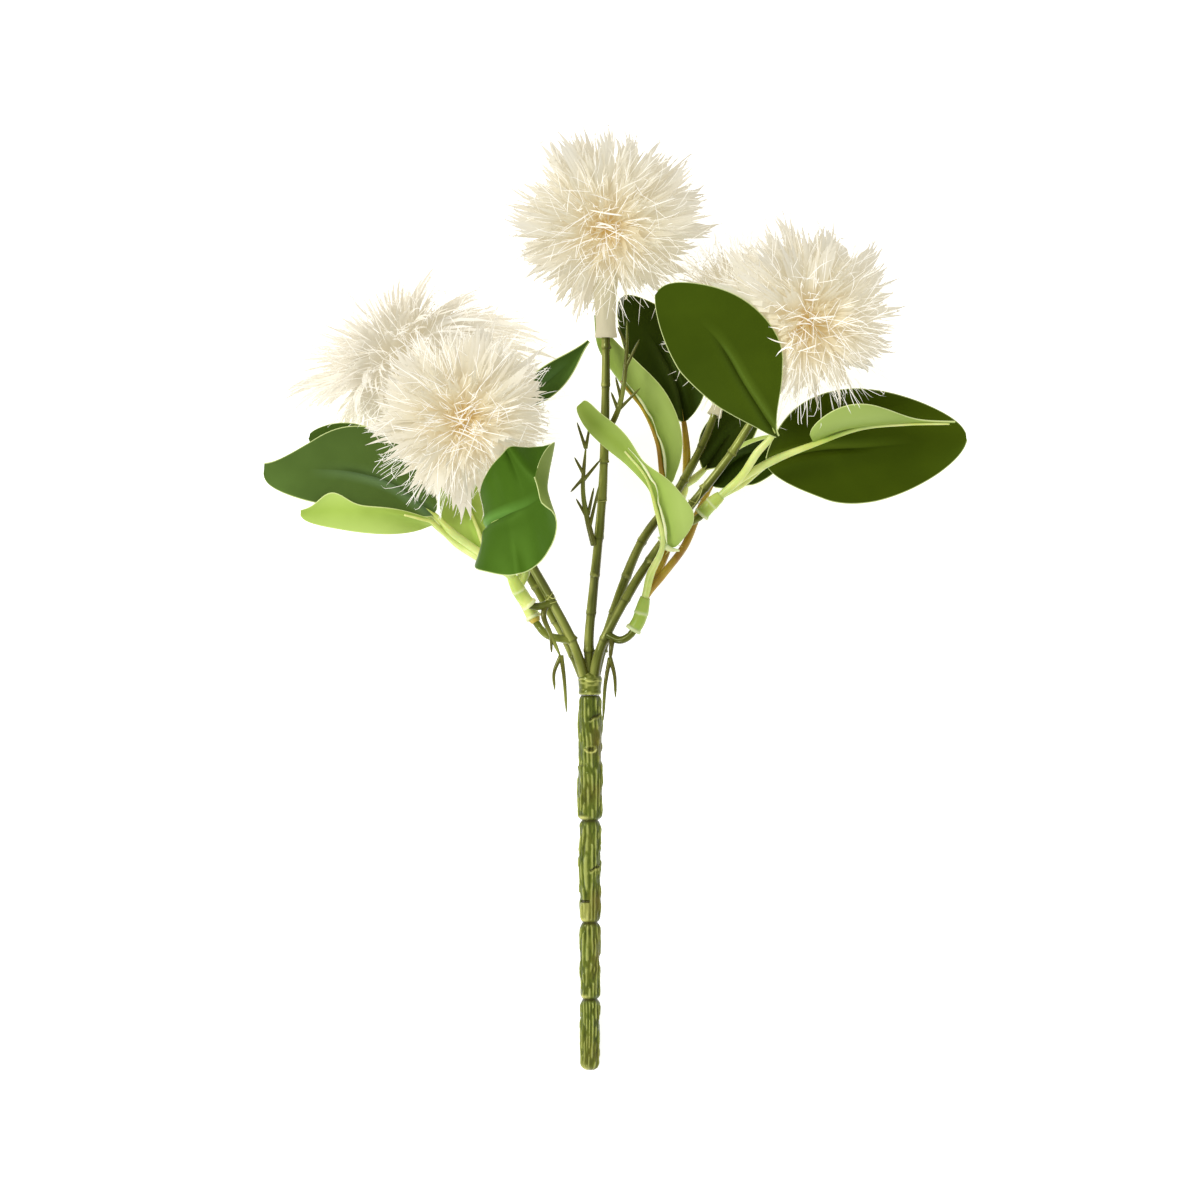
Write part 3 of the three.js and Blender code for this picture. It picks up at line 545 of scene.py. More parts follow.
stubs = {
    "leftUpper": [[-15, 187, 5.5], [-20, 185.5, 7.5], [-24, 186, 8.5], [-27, 189.5, 9.5]],
    "leftLower": [[-8, 172, 3], [-17, 174, 3.5], [-21.5, 179, 2], [-24.5, 185, 1]],
    "rightLower": [[7, 174, 3.5], [12, 172, 6.5], [16, 174, 8], [19.5, 180, 8.5]],
    "rightUpper": [[33, 217, 6.5], [40, 219, 9.5], [43.5, 221, 10.5], [47.5, 225.5, 11.5]],
    "rear": [[27, 220, -11], [30.5, 222, -15], [33, 225, -17.5], [36, 230, -19]],
}
# twigs by the radius at their foot: the four twigs' stems, their needles and the long end needles
twigs = {
    1.28: [[[-17, 187, 6], [-18.5, 182, 8], [-15.5, 174, 8.5], [-11.5, 165, 8.5]],
           [[9, 173.5, 4.5], [8.5, 169, 7], [8, 164, 7]],
           [[1.5, 210, 0], [-1.2, 221, 3], [-2.8, 232, 4], [-1.6, 250, 4]],
           [[6, 253, 0], [11.6, 265, 4.5], [14.4, 283, 5], [14.8, 300, 5]]],
    0.96: [[[-11.5, 166, 8.5], [-14.3, 159, 9], [-14, 152, 9]],
           [[-11.5, 166, 8.5], [-10.3, 157, 8], [-9.3, 143, 8]],
           [[8, 165, 7], [9.8, 158, 8], [10.2, 149, 8]],
           [[8, 165, 7], [6.2, 155, 7.5], [5.2, 139.5, 7.5]]],
    0.8: [[[-15.5, 174, 8.5], [-15.3, 167, 9]], [[-1.2, 221, 3], [-5.6, 228.5, 4]],
          [[-0.8, 222, 3], [1.6, 233, 5]], [[0, 218, 2.5], [4, 235, 5]], [[-2.4, 238, 4], [-6.2, 245, 5]],
          [[-2.4, 237, 4], [-7.8, 231, 5]], [[-2.4, 236, 4], [4.2, 244, 5.5]],
          [[-1.7, 248.5, 4], [-5.2, 259, 5]], [[-1.7, 248.5, 4], [0, 258, 5]],
          [[11.2, 264, 4.5], [8.4, 271, 5]], [[12.6, 267.5, 5], [10.2, 277, 6]],
          [[10.5, 263, 4], [20, 272.5, 6]], [[14.3, 281, 5], [19.8, 292, 6]], [[14.4, 290, 5], [11, 297, 5]]],
}
# glue left over from the assembly: rings (branch, share of its length, slope) and loose threads
glueRings = [("leftFront", 0.37, 0.9), ("leftFront", 0.345, -0.5), ("rightFront", 0.62, 0.8),
             ("top", 0.5, 0.5), ("top", 0.68, -0.6)]
glueThreads = [
    [[-17, 190, 9], [-14.5, 188.5, 11], [-12.5, 190, 11]],
    [[3.4, 228, 1.3], [3.0, 222, 1.5], [2.4, 214, 1.3]],
    [[5.2, 262, 3], [8.2, 254, 6], [6, 249, 3]],
    [[31, 213, 12], [35, 216, 14], [38, 221, 12]],
    [[37, 221, 10], [43, 228, 12], [46, 237, 11]],
    [[30, 206, 14], [33.5, 210, 17], [37, 209, 15]],
]


def branchPart(route, look, seed):
    # each stretch narrows upwards from its node. A node has a proud ring over a dark line, and a bud
    # further round than the last; two mould seams run along the branch. A painted highlight runs along
    # its front left side, and painted shade in brown along its right side.
    length, sides = routeLength(route), look["branchSides"]
    shares = np.linspace(0, 1, int(length / look["ringGap"]))
    turn = turns(sides)[None]
    rng = np.random.default_rng(seed)
    spacing = look["nodeSpacing"] * lerp(0.85, 1.3, rng.random())
    first = spacing * (0.75 + 0.5 * rng.random())
    place = (shares * length)[:, None]
    step = np.mod(place - first, spacing)
    near = np.minimum(step, spacing - step)
    ring = bell(step, 0.9, 0.75) + 0.8 * bell(step, spacing - 0.4, 0.6)
    radius = look["branchRadius"] * lerp(1.06, 0.82, shares)[:, None] + 0.1 - 0.2 * step / spacing
    radius = radius + look["nodeRise"] * ring - look["lineDepth"] * bell(near, 0, 0.28)
    bud = bell(step, 0.2, 0.9) * bell(apart(turn, 2.4 * np.floor((place - first) / spacing)), 0, 0.5)
    seam = bell(turn, 0.3, 0.16) + bell(turn, 3.44, 0.16)
    wobble = 0.12 * (rodNoise(place, turn, 5, 4, seed) - 0.5)
    radius = radius + look["budRise"] * bud + look["seamRise"] * seam + wobble
    part = tube(route, shares, radius, sides)
    # painted highlight along the branch's front left side
    paintedHighlight = look["paintedHighlight"] * rodNoise(place, turn, 7, 9, seed + 30) * bell(turn, 4.0, 0.5)
    # painted shade on the branch's right side, away from the light, carried as brown
    part["brown"] = onTube(np.cos(turn).clip(0), *radius.shape)
    part["node"] = onTube(bell(near, 0, 0.45), *radius.shape)
    part["pale"] = onTube(bud + 0.3 * seam + paintedHighlight, *radius.shape)
    return part


def glueRing(route, share, slope, look):
    # a thread of glue most of the way round a branch, higher on one side
    middle, above = smoothRoute(route, [share, share + 0.01])
    axis = unit(above - middle)
    first = unit(np.cross(axis, [0, 0, 1.0]))
    second = np.cross(axis, first)
    turn = np.linspace(0.3, 6.4, 16)[:, None]
    radius = look["branchRadius"] + 0.3
    points = middle + radius * (np.cos(turn) * first + np.sin(turn) * second) + slope * np.cos(turn) * axis
    return plainRod(points.tolist(), [(0, 0.08), (0.5, look["glue"]), (1, 0.08)], 6, 0.6)


def collarPart(look):
    # a short sleeve with a thick lower lip and a wavy raised line; its top closes between the branches. A
    # pale band round the lower lip is a painted highlight.
    heights, radii = np.array(look["collar"]).T
    y = np.linspace(heights[0], heights[-1], 60)
    up, turn = y[:, None], turns(40)[None]
    wave = look["collarLine"] + 0.45 * np.sin(turn * 2 + 0.6) + 0.25 * np.sin(turn * 5)
    radius = np.interp(y, heights, radii)[:, None] + 0.3 * (patchNoise(up / 3, turn / 0.9, 12, 7) - 0.5)
    part = uprightTube(y, radius + 0.2 * bell(up, wave, 0.2))
    fleck = rodNoise(up, turn, 0.9, 23, 13)
    # pale: the wavy line, flecks, and a painted highlight band on the lower lip
    pale = bell(up, wave, 0.22) + 0.75 * ease((fleck - 0.55) / 0.4) + 0.6 * bell(up, 150.5, 0.35)
    part["pale"] = onTube(pale, *radius.shape)
    return part


def twigPart(route, radius):
    stations = [(0, radius), (0.3, radius * 0.85), (0.8, radius * 0.6), (0.95, radius * 0.3), (1, 0.05)]
    part = plainRod(route, stations, 8, 1.2)
    part["pale"], part["brown"] = 0.12, 0.5 + 0.5 * np.sin(part["along"] / 4)
    return part


forkShader = Shader("branch_plastic", Roughness=0.22, IOR=1.55, Specular_Tint=(230, 238, 170))
branchTone = forkShader.ramp(forkShader.noise(70, 3, (1, 0.35, 1)),
                             [(0.32, (52, 57, 10)), (0.5, (88, 96, 25)), (0.68, (130, 138, 57))])
# pale: buds, seams, glue and the collar's line and flecks, with the painted highlights along the branches'
# front left sides and on the collar's lower lip
branchTone = forkShader.marked(branchTone, "pale", (198, 201, 110), 0.75)
branchTone = forkShader.marked(branchTone, "node", (45, 45, 9), 0.55)
# brown: painted shade on the branches' right sides; on the twigs it comes and goes along them
branchTone = forkShader.marked(branchTone, "brown", (70, 64, 14), 0.8)
forkShader.colour(branchTone)
forkShader.bump(forkShader.noise(700), 0.25, 0.0002)
forkParts = [collarPart(forkLook)]
forkParts += [branchPart(route, forkLook, 20 + i) for i, route in enumerate(branches.values())]
forkParts += [plainRod(route, forkLook["stub"], 16, 0.4) for route in stubs.values()]
forkParts += [twigPart(route, radius) for radius, routes in twigs.items() for route in routes]
glueParts = [glueRing(branches[branch], share, slope, forkLook) for branch, share, slope in glueRings]
glueParts += [plainRod(route, [(0, 0.12), (0.5, forkLook["glue"]), (1, 0.05)], 6) for route in glueThreads]
for part in glueParts:
    part["pale"] = 1.6
makePiece("fork_moulding", forkParts + glueParts, forkShader.material, ["stem_fork"],
          marks=("node", "pale", "brown"))
print("fork done")


# Leaves. line is the midrib from foot to tip, across the way from it to the right edge, left and
# right how far each hand curls towards the dark face at the foot and at the tip. An Edge is (share of
# the breadth, fullness at the foot and at the tip), a Skew moves the broadest place, a Lobe or Waist
# is (place, width, size). groove is where the midrib's groove ends, lit how bright the painted sheen on
# its flank is on the hand of its sign, under how light the underside is, tint the dark face's colour and
# ribEnd where the stalk's rib ends under the leaf. tint and under differ from leaf to leaf as painted
# light and shade: darker on the leaves that lie in shade, lighter on those in the light.

leafLook = {
    "thickness": 0.5,
    "grooveDepth": 1.2,
    "grooveWidth": 1.0,
    "bank": (2.6, 1.4, 0.5),  # the raised bank beside the groove: place, width and height
    "wave": 1.1,
    "ends": (0.006, 0.998),
    "rows": 56,
    "columns": 28,
    "besideRib": (-0.06, -0.02, 0.02, 0.06),  # more columns, where the groove is
}
usualLeaf = dict(leftEdge=(1, 0.85, 0.62), rightEdge=(1, 0.85, 0.62), leftSkew=0.85, rightSkew=0.85,
                 left=(0.2, 0.1), right=(0.2, 0.1), groove=0.6, lit=-0.6, under=1, ribEnd=0.62)
leaves = {
    "leaf_right_top": dict(
        line=[[74.5, 252, 24], [61.5, 271.5, 33], [48.5, 291.5, 39], [26, 308.5, 38]], breadth=38.5,
        across=[[1, 0.2, 0], [0.45, 0.9, 0]], leftEdge=(1, 0.76, 0.85), leftSkew=1.36,
        rightEdge=(1.08, 1.7, 0.5), rightSkew=1, left=(0.25, 0.1), right=(0.25, 0.1), groove=0.72,
        lit=0.7, tint=(60, 76, 9)),
    "leaf_right_outer": dict(
        line=[[70, 242.5, 6], [90, 247.5, 2], [112, 249, 0], [134, 251, 1], [150.5, 253, 3]], breadth=44,
        across=[[0.1, -1, 0], [0.1, -1, 0]], leftEdge=(1.1, 0.85, 0.58), rightEdge=(1.02, 0.8, 0.6),
        left=(0.4, 0.1), right=(0.3, 0.1), lit=-0.9, tint=(60, 74, 6)),
    "leaf_right_arched": dict(
        line=[[88, 251, 17], [101, 255.5, 18], [116, 257.5, 18], [130, 258.5, 17], [145, 258.5, 16]],
        breadth=32, across=[[0, 0.15, 1], [0, 0.1, 1]], leftEdge=(1, 0.7, 4.2), rightEdge=(1, 0.7, 4.2),
        leftSkew=0.62, rightSkew=0.62, left=(0.8, 0.3), right=(1.1, 0.5), groove=0.2, ribEnd=0.96,
        under=0.8, tint=(60, 77, 9)),
    "leaf_right_shaded": dict(
        line=[[49, 234, -5], [58, 243.5, -9], [69, 249, -10], [86, 253, -10]], breadth=25,
        across=[[0.6, -0.7, -0.15], [0.3, -0.9, -0.2]], left=(2.3, 2.0), right=(0.5, 0.2),
        tint=(45, 59, 9)),
    "leaf_middle_twisted": dict(
        line=[[30, 208, 19], [27.5, 221, 23], [25, 232, 23], [17.5, 243.5, 20], [8.5, 252, 18],
              [1, 259, 15], [-4, 266, 13]],
        breadth=26, across=[[-0.9, -0.1, -0.4], [-0.8, -0.35, -0.5], [-0.6, -0.7, -0.35]],
        leftEdge=(0.48, 0.6, 0.26), leftLobe=(0.15, 0.17, 9.5), leftWaist=(0.52, 0.13, 0.6),
        rightEdge=(0.48, 0.6, 0.26), rightWaist=(0.25, 0.3, 0.75), left=(0.8, 0.3), right=(0.5, 0.3),
        groove=0.5, under=0.94, tint=(68, 88, 16)),
    "leaf_middle_curved": dict(
        line=[[31, 234, -6], [28.5, 251, -8], [22, 264.5, -10], [13, 276, -11], [4, 290, -9],
              [2, 302.5, -8]],
        breadth=25, across=[[-0.6, -0.1, -0.8], [-0.6, -0.35, -0.7]], rightEdge=(0.4, 0.8, 0.8),
        left=(1.2, 0.4), right=(1.6, 1), groove=0.5, under=0.82, tint=(68, 88, 16)),
    "leaf_top_rear": dict(
        line=[[38, 260, -19], [35, 275, -21], [27, 291, -25], [13, 311, -28]], breadth=29,
        across=[[1, 0.1, 0], [0.85, 0.5, 0]], left=(0.3, 0.1), right=(0.3, 0.1), groove=0.7,
        tint=(43, 54, 9)),
    "leaf_left_rear": dict(
        line=[[-33, 264, -9], [-23, 271, -8], [-11, 281, -7], [-0.5, 292, -6]], breadth=12,
        across=[[0.7, -0.7, 0], [0.8, -0.6, 0]], leftEdge=(1, 0.85, 1.5), rightEdge=(1, 0.85, 1.5),
        left=(0.3, 0.3), right=(0.3, 0.3), groove=0.5, tint=(59, 83, 29)),
    "leaf_left_outer": dict(
        line=[[-62, 222, 8], [-78, 234, 9], [-94, 239, 10], [-112, 240.5, 9], [-130, 242, 6]], breadth=38,
        across=[[0.6, 0.8, 0], [0.05, 1, 0]], leftEdge=(0.86, 0.9, 0.32), rightEdge=(1.0, 0.8, 1.5),
        left=(1.3, 0.05), right=(0.3, 0.1), groove=0.72, tint=(77, 99, 43)),
    "leaf_left_low": dict(
        line=[[-62, 219, 8], [-78, 222.5, 14.5], [-96, 223.5, 16], [-115, 223, 14]], breadth=18,
        across=[[-0.4, -0.9, 0], [0.1, -1, 0]], leftEdge=(0.22, 0.8, 0.8), leftLobe=(0.77, 0.13, 7),
        rightEdge=(1, 0.85, 0.42), left=(-0.3, -0.8), groove=0.5, ribEnd=0.25, tint=(79, 101, 45)),
    "leaf_left_upper": dict(
        line=[[-70, 228, -9], [-84, 240, -10], [-98, 249.5, -11], [-113, 254, -12]], breadth=25,
        across=[[0.6, 0.8, 0], [0.3, 0.95, 0]], right=(0.3, 0.1), tint=(63, 83, 29)),
    "leaf_left_inner": dict(
        line=[[-41, 207, 3], [-46, 219, -1], [-51, 232, -8], [-54, 243, -14]], breadth=24,
        across=[[-0.9, -0.4, 0], [-0.95, -0.3, 0]], groove=0.5, tint=(70, 95, 29)),
    "leaf_left_front": dict(
        line=[[-40, 214, 30], [-41, 217, 41], [-33, 221, 49], [-23, 225, 54], [-16.5, 231, 60],
              [-21, 236, 67]],
        breadth=49, across=[[-0.15, -1, 0], [0.1, -1, 0]], leftEdge=(1, 0.45, 0.45), leftSkew=1.8,
        rightEdge=(1, 0.7, 1.35), lit=-1.25, under=0.62, tint=(63, 95, 20)),
    "leaf_right_rear": dict(
        line=[[46, 241, -22.5], [53, 251, -26], [61, 261, -29], [69, 270, -32]], breadth=20,
        across=[[0.75, -0.45, 0.15], [0.75, -0.45, 0.15]], left=(0.5, 0.2), right=(0.5, 0.2),
        tint=(43, 54, 9)),
}
leaves = {name: {**usualLeaf, **leaf} for name, leaf in leaves.items()}


def leafMidline(leaf, u):
    # the midline's points, the way across to the right edge and the way the dark face looks
    line, step = leaf["line"], 0.004
    along = unit(smoothRoute(line, np.clip(u + step, 0, 1)) - smoothRoute(line, np.clip(u - step, 0, 1)))
    across = np.array(leaf["across"], float)
    knots = np.linspace(0, 1, len(across))
    across = np.stack([np.interp(u, knots, across[:, k]) for k in range(3)], -1)
    normal = unit(np.cross(across, along))
    return smoothRoute(line, u), np.cross(along, normal), normal


def halfBreadth(leaf, u, hand):
    # half(u) = half the breadth x sin(pi u^skew)^fullness, with a lobe or a waist
    share, foot, tip = leaf[hand + "Edge"]
    rise = np.sin(np.pi * u ** leaf[hand + "Skew"]).clip(0) ** lerp(foot, tip, u)
    half = lerp(0.7, share * leaf["breadth"] / 2, rise)
    if hand + "Lobe" in leaf:
        place, width, height = leaf[hand + "Lobe"]
        half = half + height * bell(u, place, width) * rise ** 0.3
    if hand + "Waist" in leaf:
        place, width, depth = leaf[hand + "Waist"]
        half = half * (1 - depth * bell(u, place, width))
    return half


def grooveFade(leaf, u):
    return 1 - ease((u - leaf["groove"] + 0.25) / 0.25)


def leafSurface(leaf, u, v):
    # each hand is an arc that curls towards the dark face; v runs from -1 at the left edge over the
    # midrib, a groove between two banks that fades out, to 1 at the right edge
    places, side, normal = leafMidline(leaf, u)
    leftHand, reach = v[None] < 0, np.abs(v)[None]
    half = np.where(leftHand, halfBreadth(leaf, u, "left")[:, None], halfBreadth(leaf, u, "right")[:, None])
    curl = np.where(leftHand, lerp(*leaf["left"], u)[:, None], lerp(*leaf["right"], u)[:, None])
    out = np.sign(v)[None] * half / curl * np.sin(curl * reach)
    lift = half / curl * (1 - np.cos(curl * reach))
    away = reach * half
    bankPlace, bankWidth, bankHeight = leafLook["bank"]
    groove = bankHeight * bell(away, bankPlace, bankWidth)
    groove = groove - leafLook["grooveDepth"] * bell(away, 0, leafLook["grooveWidth"])
    seed = len(leaf["line"]) * 7 + int(leaf["breadth"])
    wave = patchNoise(u[:, None] * 3.1 + 0 * v, v[None] * 1.2 + 3 + 0 * u[:, None], seed) - 0.5
    lift = lift + groove * grooveFade(leaf, u)[:, None] + leafLook["wave"] * wave * reach ** 2
    return places[:, None] + out[..., None] * side[:, None] + lift[..., None] * normal[:, None], half


def leafPart(leaf):
    # the leaf's surface moved half its thickness to each face, with its edge pinched thin. Its grid
    # is finer towards the foot, the tip and both edges.
    spread = [np.sin(np.linspace(-1, 1, leafLook[way] + 1) * np.pi / 2) for way in ("rows", "columns")]
    u = lerp(*leafLook["ends"], spread[0] * 0.5 + 0.5)
    v = np.sort(np.concatenate([spread[1], leafLook["besideRib"]]))
    rows, columns = len(u), len(v)
    surface, half = leafSurface(leaf, u, v)
    across = unit(np.gradient(surface, axis=1))
    along = unit(np.gradient(surface, axis=0))
    pinch = np.sqrt(1 - 0.85 * np.abs(v) ** 60)[None, :, None]
    shift = unit(np.cross(across, along)) * leafLook["thickness"] / 2 * pinch
    count = rows * columns
    quads = gridQuads(rows, columns, False)
    alongRow, alongColumn = np.arange(columns - 1), columns * np.arange(rows - 1)
    rim = np.concatenate([alongRow, columns - 1 + alongColumn, count - 1 - alongRow,
                          count - columns - alongColumn])
    nextRim = np.roll(rim, -1)
    wall = np.stack([rim, rim + count, nextRim + count, nextRim], -1)
    return {
        "points": np.vstack([(surface + shift).reshape(-1, 3), (surface - shift).reshape(-1, 3)]),
        "quads": np.vstack([quads, quads[:, ::-1] + count, wall]),
        "dark": np.repeat([1.0, 0.0], count),
        "rib": np.tile((np.abs(v)[None] * half).ravel(), 2),
        "edge": np.tile(((1 - np.abs(v))[None] * half).ravel(), 2),
        "lit": np.tile((v * leaf["lit"] > 0) * abs(leaf["lit"]), 2 * rows),
        "share": np.tile(np.repeat(u, columns), 2),
    }


def leafMaterial(name, tint, under):
    # coated cloth: dark above with painted shade in the midrib's groove and a painted sheen on its flank,
    # light green below and painted lighter out to the edges, a pale cut edge and a faint weave
    shader = Shader(name, Roughness=0.42, IOR=1.45, Specular_IOR_Level=0.3,
                    Specular_Tint=(170, 225, 100))
    cloud = shader.noise(38)
    rib = shader.attribute("rib")
    above = shader.ramp(cloud, [(0.3, toned(tint, 0.84)), (0.7, toned(tint, 1.14, 1.12, 1.2))])
    fade = shader.range(shader.attribute("share"), 0.35, 0.75, 1, 0)
    # painted shade in the midrib's groove
    grooveShade = shader.times(shader.range(rib, 0.15, 0.9, 1, 0), fade)
    above = shader.mix(shader.times(grooveShade, 0.7), above, toned(tint, 0.55, 0.55, 0.6))
    # painted sheen on the flank beside the groove, on the hand that lit picks
    flank = shader.times(shader.range(rib, 4.4, 1.4), fade)
    paintedSheen = shader.times(flank, shader.times(shader.attribute("lit"), 0.75, 0.1))
    above = shader.mix(paintedSheen, above, toned(tint, 2.3, 2.2, 5.5))
    below = shader.ramp(cloud, [(0.3, toned((144, 169, 70), under)), (0.7, toned((170, 196, 90), under))])
    # painted light: the underside grows lighter from the midrib out to its edges
    below = shader.mix(shader.range(rib, 0.5, 9), below, toned((184, 207, 110), under))
    tone = shader.mix(shader.attribute("dark"), below, above)
    edge = shader.range(shader.attribute("edge"), 0.12, 0.42, 0.8, 0)
    shader.colour(shader.mix(edge, tone, (221, 232, 158)))
    shader.bump(shader.times(cloud, 0.3, shader.noise(1900, 2)), 0.12, 0.0002)
    return shader.material


# each leaf's own tint and underside lightness are painted light and shade for where it lies, and its material
# carries the painted groove shade and sheen
for name, leaf in leaves.items():
    painted_light_finish = leafMaterial(name + "_finish", leaf["tint"], leaf["under"] ** 1.6)
    makePiece(name + "_cloth", [leafPart(leaf)], painted_light_finish, [name],
              marks=("dark", "rib", "edge", "share", "lit"))
print("leaves done")


# Leaf stalks: a sleeve on its stub, and an arm to each leaf that runs on as its midrib.

stalkLook = {
    "radius": 1.55,
    "ribTip": 0.4,
    "ribStart": 0.04,
    "ribDrop": 0.4,
    "sleeve": 3.2,
    "sleeveDepth": 5,
    "greenSleeves": {"rightLower": 0.75, "rightUpper": 0.4, "leftLower": 0.3},
    "blobs": {"leftLower": 2.5},
    "webs": {"rightLower": [[27, 213, 20.5], [31, 208.5, 20], [35.5, 207.5, 19.5]]},
    "brown": ("leaf_middle_curved", "leaf_right_shaded", "leaf_top_rear"),
    "glued": ("leaf_middle_twisted", "leaf_middle_curved", "leaf_right_arched"),
}
# each stalk's stub, the point where it forks, and the way from there to each leaf's foot
stalks = {
    "stalk_left_upper": ("leftUpper", [-31, 197, 12], {
        "leaf_left_outer": [[-42, 205.5, 12], [-55, 215, 9]],
        "leaf_left_low": [[-43, 204, 10], [-53, 210.5, 7]],
        "leaf_left_upper": [[-43, 205, 9], [-54, 212, 5.5], [-65, 221.5, -4]]}),
    "stalk_left_lower": ("leftLower", [-28, 192.5, 1], {
        "leaf_left_inner": [[-34, 200, 1.5]],
        "leaf_left_front": [[-25.5, 199, 4], [-28, 206.5, 16], [-35, 211, 24]],
        "leaf_left_rear": [[-25, 212, -4], [-30, 240, -10], [-35, 256, -11]]}),
    "stalk_right_lower": ("rightLower", [22, 189, 10], {
        "leaf_middle_twisted": [[24, 198, 15]],
        "leaf_middle_curved": [[27, 199, 6], [32, 212, 0], [33, 226, -5]],
        "leaf_right_shaded": [[29, 198, 9.5], [38, 210, 2], [43, 222, -3]]}),
    "stalk_right_upper": ("rightUpper", [52, 229.5, 12.5], {
        "leaf_right_arched": [[60, 236, 14], [73, 243.5, 15.5]],
        "leaf_right_outer": [[60, 234, 9.5]],
        "leaf_right_top": [[60, 237, 16], [66, 246, 20]]}),
    "stalk_rear": ("rear", [38, 234, -19.5], {
        "leaf_right_rear": [[42, 237, -21]],
        "leaf_top_rear": [[39, 247, -19.5]]}),
}


def underLeaf(leaf, u, drop):
    # points below a leaf's midrib, on its light side, and the way across there
    places, side, normal = leafMidline(leaf, u)
    below = leafLook["thickness"] / 2 + leafLook["grooveDepth"] * grooveFade(leaf, u) + drop
    return places - normal * below[:, None], side


def gluePart(leaf, ribPlaces):
    # an uneven bead of glue beside the midrib, on the light face
    u = np.linspace(*ribPlaces, 24)
    middle, side = underLeaf(leaf, u, 0)
    uneven = patchNoise(u * 22, u * 0, 71)
    bead = middle - side * (1.3 + 0.9 * uneven)[:, None]
    swell = zip(np.linspace(0.1, 0.9, 12), 0.1 + 0.55 * uneven[4:16])
    part = plainRod(bead.tolist(), [(0, 0.1), *swell, (1, 0.1)], 8)
    part["pale"] = 0.65
    return part


def armParts(name, end, fork, route, look):
    # an arm from the fork to its leaf's foot, thinning along the midrib, and its glue
    leaf = leaves[name]
    ribPlaces = look["ribStart"], leaf["ribEnd"]
    rib, _ = underLeaf(leaf, np.linspace(*ribPlaces, 4), look["ribDrop"])
    start = [end, fork, *route]
    whole = [*start, *rib]
    foot = routeLength(start) / routeLength(whole)
    stations = [(0, look["radius"]), (foot * 0.7, look["radius"]), (foot, look["radius"] * 1.05),
                (lerp(foot, 1, 0.3), 1.0), (lerp(foot, 1, 0.65), 0.65), (1, look["ribTip"])]
    part = plainRod(whole, stations, 12)
    part["brown"] = float(name in look["brown"])
    part["pale"] = 0.25 * patchNoise(part["along"] / 9, 0 * part["along"], 31) * (1 - part["brown"])
    return [part, gluePart(leaf, ribPlaces)] if name in look["glued"] else [part]


def stalkParts(stub, fork, arms, look):
    # the sleeve has a thick mouth and a ring halfway, and narrows to the fork
    before, end = np.array(stubs[stub][-2:], float)
    axis = unit(end - before)
    mouth = end - axis * look["sleeveDepth"]
    s = look["sleeve"]
    stations = [(0, s - 0.5), (0.01, s), (0.07, s + 0.08), (0.12, s - 0.45), (0.5, s - 0.5), (0.56, s - 0.2),
                (0.6, s - 0.4), (0.85, 2.4), (1, 2.0)]
    sleeve = plainRod([mouth, end, fork], stations, 20, 0.3)
    spread = sleeve["along"] / sleeve["along"].max()
    sleeve["pale"] = 0.6 * bell(spread, 0.05, 0.05) + 0.4 * bell(spread, 0.57, 0.04)
    sleeve["node"] = look["greenSleeves"].get(stub, 0.0)
    parts = [sleeve]
    if stub in look["webs"]:
        parts.append(plainRod(look["webs"][stub], [(0, 0.4), (0.5, 1.3), (1, 0.4)], 12, 0.5))
        parts[-1]["pale"] = 0.5
    if stub in look["blobs"]:
        blob = look["blobs"][stub]
        stations = [(0, 0.3), (0.2, blob * 0.75), (0.5, blob), (0.8, blob * 0.8), (1, 0.3)]
        parts.append(plainRod([mouth - axis * blob, mouth + axis * blob], stations, 16, 0.4))
        parts[-1]["brown"] = 0.85
    for name, route in arms.items():
        parts += armParts(name, end, fork, route, look)
    return parts


stalkShader = Shader("stalk_plastic", Roughness=0.34, IOR=1.47, Subsurface_Weight=0.12,
                     Subsurface_Scale=0.002)
stalkCloud = stalkShader.noise(60)
stalkTone = stalkShader.ramp(stalkCloud, [(0.3, (160, 184, 70)), (0.5, (196, 211, 98)),
                                          (0.7, (226, 231, 136))])
ochre = stalkShader.ramp(stalkCloud, [(0.35, (150, 112, 18)), (0.65, (190, 165, 42))])
stalkTone = stalkShader.marked(stalkTone, "brown", ochre)
stalkTone = stalkShader.marked(stalkTone, "node", (140, 170, 50))
stalkTone = stalkShader.marked(stalkTone, "pale", (240, 242, 205))
stalkShader.colour(stalkTone)
stalkShader.bump(stalkShader.noise(500, 2), 0.2, 0.0003)
for name, (stub, fork, arms) in stalks.items():
    makePiece(name + "_moulding", stalkParts(stub, fork, arms, stalkLook), stalkShader.material,
              [name], marks=("node", "pale", "brown"))
print("leaf stalks done")


# Flower heads: ribbons of frayed cloth that fan out from a golden middle on a cloth tube.

bloomLook = {
    "ribbons": 330,
    "teeth": 4,
    "ribbonWidth": (3.2, 7.4),
    "split": (0.42, 0.86),
    "twist": 0.55,
    "thickness": 0.08,
    "stations": (0, 0.14, 0.36, 0.56, 0.74, 0.88, 1),  # shares of a tooth's length
    "reach": 39,
    "reachSpread": (0.86, 1.1),
    "stretch": (1, 1, 1),
    "fan": (8, 158),  # the first and last ribbon's angle from the way the head faces
    "lift": 0.42,
    "inner": 0.42,
    "core": 5.5,
    "hairs": 3300,
    "hairLength": (0.9, 3.4),
    "hairWidth": 0.52,
    "loose": 950,
    "looseLength": (6, 19),
    "looseWidth": 0.27,
    "threads": 36,
    "threadWidths": (0.85, 0.38),
    "calyxRadius": 3.9,
    "calyxFlare": 5,
    "calyxSides": 40,
    "tipInCalyx": 10,
    "sideways": 0.45,  # how much paleness grows sideways of the facing rather than all round
    # paler and palest lighten a whole head: painted light, set higher on the rear heads
    "paler": 0,
    "palest": 0.84,
}
